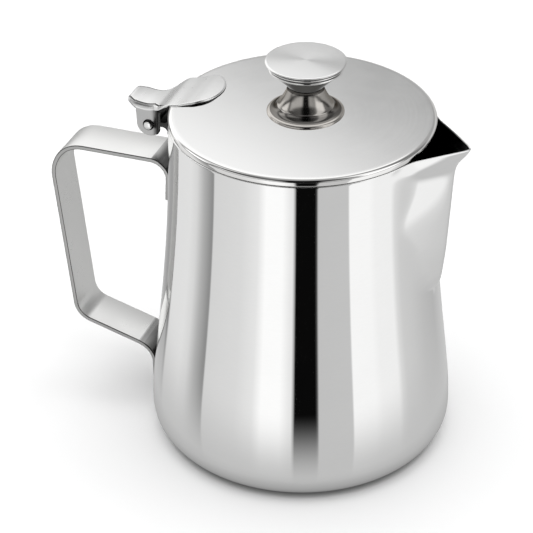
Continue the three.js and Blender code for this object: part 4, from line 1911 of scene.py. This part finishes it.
    def _cap(self) -> bpy.types.Object:
        """Builds the cap, brushed on top and polished round its edge and neck.

        Returns:
            The cap.
        """
        low = self.base_height + self.sizes.seat_gap
        height = self.height - low
        bore = self.stud_radius + self.sizes.seat_gap
        bore_top = self.stud_top + self.sizes.seat_gap - low
        side = height - self.top_dome
        outline = self._outline(self.cap_shares, self.cap_radius - self.neck_radius, side, 12)
        flat = outline[-1][0]
        top = [(flat * part, height - self.top_dome * part * part) for part in np.linspace(1, 0, 24)[1:]]
        profile = [(0, bore_top), (bore, bore_top), (bore, 0), *outline, *top]
        x, y, z = self.seat
        piece = TURNED.turn("knob_cap_brushed", profile, BRIGHT_EDGE, 180, (x, y, z + low))
        piece.data.materials.append(BRUSHED_TOP.material())
        for face in piece.data.polygons:
            face.material_index = int(face.normal.z > 0.97)

        # Painted shade in the grooves and on the cone below the beads.
        def painted_light(face: bpy.types.MeshPolygon) -> float:
            """Paints the grooves black with shade, and the cone below the beads dark with shade.

            Args:
                face: A face of the cap.

            Returns:
                The share of light that it keeps.
            """
            up = (face.center.z / MM - z - low) / side
            if any(start < up < end for start, end in self.groove_shares):
                return self.groove_painted_shade
            return self.cone_painted_shade if up < self.cone_share else 1.0

        add_painted_light(piece.data, painted_light)
        return piece

    def _nut(self, low: float) -> bpy.types.Object:
        """Builds the hexagon nut with turned corners.

        Args:
            low: Height of its lower face.

        Returns:
            The nut.
        """
        around = 96
        angle = np.linspace(0, 2 * math.pi, around, endpoint=False)
        sixth = math.pi / 3
        flat = self.nut_across / 2
        hexagon = flat / np.cos((angle + sixth / 2) % sixth - sixth / 2)
        bore = np.full(around, self.stud_radius + 0.05)
        turned = np.minimum(hexagon, flat * 1.02)
        fall = (hexagon - turned) * 0.6
        height = self.nut_height
        levels = [
            (bore, np.full(around, 0.3)), (bore + 0.35, np.zeros(around)), (turned, np.zeros(around)),
            (hexagon, fall), (hexagon, height - fall), (turned, np.full(around, height)),
            (bore + 0.35, np.full(around, height)), (bore, np.full(around, height - 0.3)),
            (bore, np.full(around, 0.3)),
        ]
        rings = [np.column_stack([r * np.cos(angle), r * np.sin(angle), z]) for r, z in levels]
        points = np.vstack(rings) + (self.offset, 0, low)
        mesh = polygon_mesh("knob_nut_hex", points, ring_faces(len(rings), around))
        tidy_mesh(mesh, 25)
        mesh.materials.append(PLAIN_STEEL.material())
        return new_piece("knob_nut_hex", mesh)

    def _stud(self, low: float) -> bpy.types.Object:
        """Builds the threaded stud.

        Args:
            low: Height of its lower end.

        Returns:
            The stud.
        """
        x, y, z = self.seat
        high = z + self.stud_top
        start = bpy.data.meshes.new("stud_start")
        start.from_pydata([(0, 0, 0)], [], [])
        piece = THREAD.make(
            "knob_stud_threaded", start, PLAIN_STEEL, Radius=self.stud_radius * MM, Length=(high - low) * MM,
            Pitch=self.thread_pitch * MM, Depth=self.thread_pitch * 0.5 * MM,
        )
        piece.data.transform(Matrix.Translation(Vector((x, y, (low + high) / 2)) * MM))
        tidy_mesh(piece.data, 25)
        return piece

    def build(self) -> list[bpy.types.Object]:
        """Builds the knob and what holds it.

        Returns:
            Its five pieces.
        """
        x, y, seat = self.seat
        hole = self.stud_radius + self.sizes.seat_gap
        top = seat - self.lid.sheet - 2 * self.sizes.seat_gap
        low = top - self.washer_thickness
        soft = self.washer_thickness * 0.3
        middle = self.washer_thickness / 2
        section = rounded([
            (hole, middle), (hole, 0), (self.washer_radius, 0), (self.washer_radius, self.washer_thickness),
            (hole, self.washer_thickness), (hole, middle),
        ], (0, soft / 2, soft, soft, soft / 2, 0), 4)
        washer = TURNED.turn("knob_washer_round", section, PLAIN_STEEL, 96, (x, y, low))
        nut_low = low - self.nut_height
        base, cap = self._base(), self._cap()
        stud = self._stud(nut_low - self.stud_proud)
        # Their black images would show on the satin lid.
        for piece in (base, cap, stud):
            piece.visible_glossy = False
        return [
            self.settle(base, "knob_base", Slot.NICKEL),
            self.settle(cap, "knob_cap", Slot.BRUSHED),
            self.settle(washer, "knob_washer", Slot.PLAIN),
            self.settle(self._nut(nut_low), "knob_nut", Slot.PLAIN),
            self.settle(stud, "knob_stud", Slot.PLAIN),
        ]


# Studio


@dataclass(frozen=True)
class Panel:
    """A stop in a ring of studio panels.

    Attributes:
        azimuth: Degrees to the right of the camera, seen from the pot.
        level: Brightness there; 1 is white.
    """

    azimuth: float
    level: float


@dataclass
class Studio:
    """The camera, the ring of panels that the steel mirrors, and the floor.

    Attributes:
        azimuth: Degrees by which the camera stands to the spout's side.
        elevation: Degrees by which it looks down.
        distance: Its distance from the point that it looks at.
        aim: That point.
        lens: Focal length on a 36 mm sensor.
        roll: Degrees by which the picture is turned.
        low_ring: Panels below the horizon, which the body's wall mirrors.
        middle_ring: Panels a little above it, which edges and the knob mirror.
        high_ring: Panels well above it.
        line_level: Brightness of the thin dark band that parts the low and the middle ring.
        nadir_level: Brightness straight down.
        zenith_level: Brightness straight up.
        card: Brightness of the graded card behind the pot, from its low right to its high left.
        daylight: Brightness of the sides and of the ceiling for what isn't polished.
        shadow_reach: How far from the pot the floor is darkened where the two meet.
        shadow_depth: How quickly it darkens there.
        floor_in_steel: Brightness of the floor that the steel mirrors.
        mirrored_reach: How far from the pot that floor is darkened.
        mirrored_depth: How quickly it darkens there.
        floor_half: Half the floor's width.
        floor_paint: Lowest and highest lightness of its paint.
        floor_glow: Brightness of its own.
        nadir_from: Degrees of height over which the low ring gives way to straight down.
        line_from: The same for the low ring and the thin dark band.
        middle_from: The same for the band and the middle ring.
        high_from: The same for the middle and the high ring.
        zenith_from: The same for the high ring and straight up.
        ceiling_from: The same for the two levels of daylight.
        card_slant: Degrees added to a height at the far right, for the card.
        card_from: Degrees of that slanted height over which the card brightens.
        card_foot: Degrees of height over which its foot brightens.
        card_foot_light: Brightness that the foot gains.
        card_side: How far a direction points to the camera where the card begins.
        card_low: Degrees of height over which it begins.
        mirrored_end: Metres from the axis over which the mirrored floor ends.
    """

    azimuth: float = 20.0
    elevation: float = 32.83
    distance: float = 960.0
    aim: Place = (-15.73, -5.73, 85.96)
    lens: float = 135.4
    roll: float = -0.27
    low_ring: tuple[Panel, ...] = (
        Panel(-180, 0.6), Panel(-152, 0.36), Panel(-141, 0.4), Panel(-137, 0.12), Panel(-134, 0.8),
        Panel(-110, 0.83), Panel(-101, 0.75), Panel(-92, 0.48), Panel(-83, 0.3), Panel(-81.5, 0.3),
        Panel(-81, 0.72), Panel(-52, 0.77), Panel(-38, 0.87), Panel(-31, 1.09), Panel(-17, 1.09),
        Panel(-10, 0.9), Panel(-7.2, 0.86), Panel(-6.8, 0.003), Panel(11.2, 0.003), Panel(11.6, 0.59),
        Panel(38.4, 0.6), Panel(39.2, 1.03), Panel(57, 1.03), Panel(63, 0.97), Panel(79, 0.96),
        Panel(83, 0.77), Panel(88, 0.67), Panel(100, 0.63), Panel(115, 0.56), Panel(135, 0.5),
        Panel(156, 0.6), Panel(180, 0.6),
    )
    middle_ring: tuple[Panel, ...] = (
        Panel(-180, 0.6), Panel(-165, 0.12), Panel(-150, 0.1), Panel(-118, 0.06), Panel(-112, 1.5),
        Panel(-90, 1.4), Panel(-82, 0.1), Panel(-72, 0.8), Panel(-24, 0.8), Panel(-16, 0.4),
        Panel(-12, 0.01), Panel(12, 0.01), Panel(16, 0.4), Panel(24, 0.6), Panel(46, 0.5),
        Panel(54, 1.4), Panel(84, 1.4), Panel(92, 0.3), Panel(120, 0.2), Panel(150, 0.1),
        Panel(165, 0.12), Panel(180, 0.6),
    )
    high_ring: tuple[Panel, ...] = (
        Panel(-180, 0.9), Panel(-150, 0.8), Panel(-125, 0.2), Panel(-118, 0.06), Panel(-112, 0.9),
        Panel(-90, 0.7), Panel(-80, 0.1), Panel(-60, 0.12), Panel(-30, 0.16), Panel(-20, 0.06),
        Panel(-15, 0.005), Panel(15, 0.005), Panel(20, 0.06), Panel(40, 0.15), Panel(50, 0.35),
        Panel(56, 1.1), Panel(84, 1.0), Panel(94, 0.2), Panel(125, 0.2), Panel(150, 0.8),
        Panel(180, 0.9),
    )
    line_level: float = 0.05
    nadir_level: float = 0.58
    zenith_level: float = 0.42
    card: Point = (0.4, 1.18)
    daylight: Point = (0.38, 2.5)
    shadow_reach: float = 3.0
    shadow_depth: float = 0.5
    floor_in_steel: float = 0.58
    mirrored_reach: float = 25.0
    mirrored_depth: float = 0.6
    floor_half: float = 2500.0
    floor_paint: Point = (0.9, 0.91)
    floor_glow: float = 0.05
    nadir_from: Point = (-33.0, -47.0)
    line_from: Point = (7.0, 10.0)
    middle_from: Point = (13.0, 16.0)
    high_from: Point = (27.0, 33.0)
    zenith_from: Point = (62.0, 78.0)
    ceiling_from: Point = (46.0, 58.0)
    card_slant: float = -42.0
    card_from: Point = (23.5, 34.5)
    card_foot: Point = (22.0, 15.0)
    card_foot_light: float = 0.25
    card_side: Point = (-0.35, -0.65)
    card_low: Point = (0.0, 5.0)
    mirrored_end: Point = (0.08, 0.188)

    def _axes(self) -> tuple[Vector, Vector]:
        """Gives the level directions from the pot to the camera and to the picture's right."""
        turn = math.radians(self.azimuth)
        return Vector((math.sin(turn), -math.cos(turn), 0)), Vector((math.cos(turn), math.sin(turn), 0))

    def camera(self) -> None:
        """Sets the camera at the photograph's viewing angle."""
        towards, _ = self._axes()
        tilt = math.radians(self.elevation)
        back = towards * math.cos(tilt) + Vector((0, 0, math.sin(tilt)))
        data = bpy.data.cameras.new("camera")
        data.sensor_width, data.lens = 36.0, self.lens
        data.clip_start, data.clip_end = 0.05, 50.0
        camera = bpy.data.objects.new("camera", data)
        camera.location = (Vector(self.aim) + back * self.distance) * MM
        level = (-back).to_track_quat("-Z", "Y").to_matrix()
        turned = level @ Matrix.Rotation(math.radians(self.roll), 3, "Z")
        camera.rotation_euler = turned.to_euler()
        bpy.context.scene.collection.objects.link(camera)
        bpy.context.scene.camera = camera

    @staticmethod
    def _ring(graph: Graph, share: bpy.types.NodeSocket, panels: Sequence[Panel]) -> bpy.types.NodeSocket:
        """Adds a ramp that holds a ring of panels.

        Args:
            graph: The world's tree.
            share: Socket that runs from 0 to 1 round the ring.
            panels: The ring's stops.

        Returns:
            The ring's brightness.
        """
        node = graph.add("ShaderNodeValToRGB", {"Fac": share})
        stops = node.color_ramp.elements
        for extra in range(len(panels) - 2):
            stops.new(0.5)
        for stop, panel in zip(stops, panels):
            stop.position = panel.azimuth / 360 + 0.5
            stop.color = (panel.level, panel.level, panel.level, 1)
        return node.outputs["Color"]

    def world(self) -> None:
        """Makes the white surround, and the panels that only the steel sees."""
        towards, right = self._axes()
        world = bpy.data.worlds.new("studio")
        world.use_nodes = True
        bpy.context.scene.world = world
        graph = Graph(world.node_tree)
        direction = graph.add("ShaderNodeTexCoord").outputs["Generated"]

        def part_along(axis: Vector) -> bpy.types.NodeSocket:
            """Adds the direction's part along an axis."""
            node = graph.add("ShaderNodeVectorMath", {0: direction, 1: axis}, operation="DOT_PRODUCT")
            return node.outputs["Value"]

        near, side = part_along(towards), part_along(right)
        up = part_along(Vector((0, 0, 1)))
        turn = graph.maths("DIVIDE", graph.maths("ARCTAN2", side, near), 2 * math.pi)
        share = graph.maths("ADD", turn, 0.5)
        rise = graph.maths("DEGREES", graph.maths("ARCSINE", up))
        low = self._ring(graph, share, self.low_ring)
        middle = self._ring(graph, share, self.middle_ring)
        high = self._ring(graph, share, self.high_ring)
        grade = graph.maths("ADD", rise, graph.maths("MULTIPLY", side, self.card_slant))
        card = graph.ease(grade, self.card_from, self.card)
        foot = graph.ease(rise, self.card_foot, (0.0, self.card_foot_light))
        card = graph.maths("ADD", card, foot)
        behind = graph.maths("MULTIPLY", graph.ease(near, self.card_side), graph.ease(rise, self.card_low))
        seen = self._mix(graph, graph.ease(rise, self.nadir_from), low, self.nadir_level)
        seen = self._mix(graph, graph.ease(rise, self.line_from), seen, self.line_level)
        seen = self._mix(graph, graph.ease(rise, self.middle_from), seen, middle)
        seen = self._mix(graph, graph.ease(rise, self.high_from), seen, high)
        seen = self._mix(graph, behind, seen, card)
        seen = self._mix(graph, graph.ease(rise, self.zenith_from), seen, self.zenith_level)
        path = graph.add("ShaderNodeLightPath")
        steel = graph.add("ShaderNodeBackground", {"Color": seen, "Strength": 1.0})
        white = graph.add("ShaderNodeBackground", {"Color": (1, 1, 1, 1), "Strength": 1.0})
        ceiling = graph.ease(rise, self.ceiling_from, self.daylight)
        light = graph.add("ShaderNodeBackground", {"Color": (1, 1, 1, 1), "Strength": ceiling})
        shown = graph.add("ShaderNodeMixShader", {
            0: path.outputs["Is Camera Ray"], 1: light.outputs[0], 2: white.outputs[0],
        })
        mixed = graph.add("ShaderNodeMixShader", {
            0: path.outputs["Is Glossy Ray"], 1: shown.outputs[0], 2: steel.outputs[0],
        })
        graph.add("ShaderNodeOutputWorld", {"Surface": mixed.outputs[0]})
        world.cycles.sampling_method = "NONE"

    @staticmethod
    def _mix(graph: Graph, share: bpy.types.NodeSocket, low: object, high: object) -> bpy.types.NodeSocket:
        """Adds a blend of two brightnesses."""
        gap = graph.maths("SUBTRACT", high, low)
        return graph.maths("MULTIPLY_ADD", gap, share, low)

    def floor(self) -> None:
        """Lays the pale floor, which lets the steel's reflections through away from the pot."""
        half = self.floor_half
        corners = np.array([(-half, -half, 0), (half, -half, 0), (half, half, 0), (-half, half, 0)])
        floor = new_piece("floor", polygon_mesh("floor", corners, [(0, 1, 2, 3)]))
        material = bpy.data.materials.new("pale_floor")
        material.use_nodes = True
        graph = Graph(material.node_tree)
        coordinates = graph.add("ShaderNodeTexCoord")
        grain = graph.add("ShaderNodeTexNoise", {"Vector": coordinates.outputs["Object"], "Scale": 3.0})
        path = graph.add("ShaderNodeLightPath")
        paint = graph.ease(grain.outputs["Fac"], (0.0, 1.0), self.floor_paint)
        nearby = graph.add("ShaderNodeAmbientOcclusion", {"Distance": self.shadow_reach * MM}, samples=16)
        shade = graph.maths("POWER", nearby.outputs["AO"], self.shadow_depth)
        level = graph.maths("MULTIPLY", shade, paint)
        colour = graph.add("ShaderNodeCombineXYZ", {"X": level, "Y": level, "Z": level})
        matt = graph.add("ShaderNodeBsdfDiffuse", {"Color": colour.outputs[0]})
        glow = graph.add("ShaderNodeEmission", {
            "Color": colour.outputs[0], "Strength": self.floor_glow,
        })
        lit = graph.add("ShaderNodeAddShader", {0: matt.outputs[0], 1: glow.outputs[0]})
        around = graph.add("ShaderNodeAmbientOcclusion", {"Distance": self.mirrored_reach * MM}, samples=16)
        dim = graph.maths("POWER", around.outputs["AO"], self.mirrored_depth)
        mirrored = graph.maths("MULTIPLY", dim, self.floor_in_steel)
        glowing = graph.add("ShaderNodeEmission", {"Strength": mirrored})
        clear = graph.add("ShaderNodeBsdfTransparent")
        distance = graph.add("ShaderNodeVectorMath", {0: coordinates.outputs["Object"]}, operation="LENGTH")
        far = graph.ease(distance.outputs["Value"], self.mirrored_end)
        steel_view = graph.add("ShaderNodeMixShader", {0: far, 1: glowing.outputs[0], 2: clear.outputs[0]})
        glossy = path.outputs["Is Glossy Ray"]
        mixed = graph.add("ShaderNodeMixShader", {0: glossy, 1: lit.outputs[0], 2: steel_view.outputs[0]})
        graph.add("ShaderNodeOutputMaterial", {"Surface": mixed.outputs[0]})
        floor.data.materials.append(material)

    def set_up(self) -> None:
        """Sets up the whole studio."""
        self.camera()
        self.world()
        self.floor()
        bpy.context.scene.view_settings.view_transform = "Standard"


def main() -> None:
    """Builds the studio and the teapot's sub-assemblies in order, and reports each piece."""
    logging.basicConfig(level=logging.INFO, format="%(name)s: %(message)s")
    sizes = Sizes.from_frame()
    LOG.info("shared sizes: %s", sizes)
    Studio().set_up()
    pot = PotBody(sizes)
    lid = Lid(sizes)
    assemblies: list[SubAssembly] = [
        pot, Handle(sizes, pot.shape), HingeBracket(sizes, pot.shape),
        lid, Hinge(sizes, lid), Knob(sizes, lid),
    ]
    count = sum(len(assembly.build()) for assembly in assemblies)
    LOG.info("%d pieces", count)


if __name__ == "__main__":
    main()
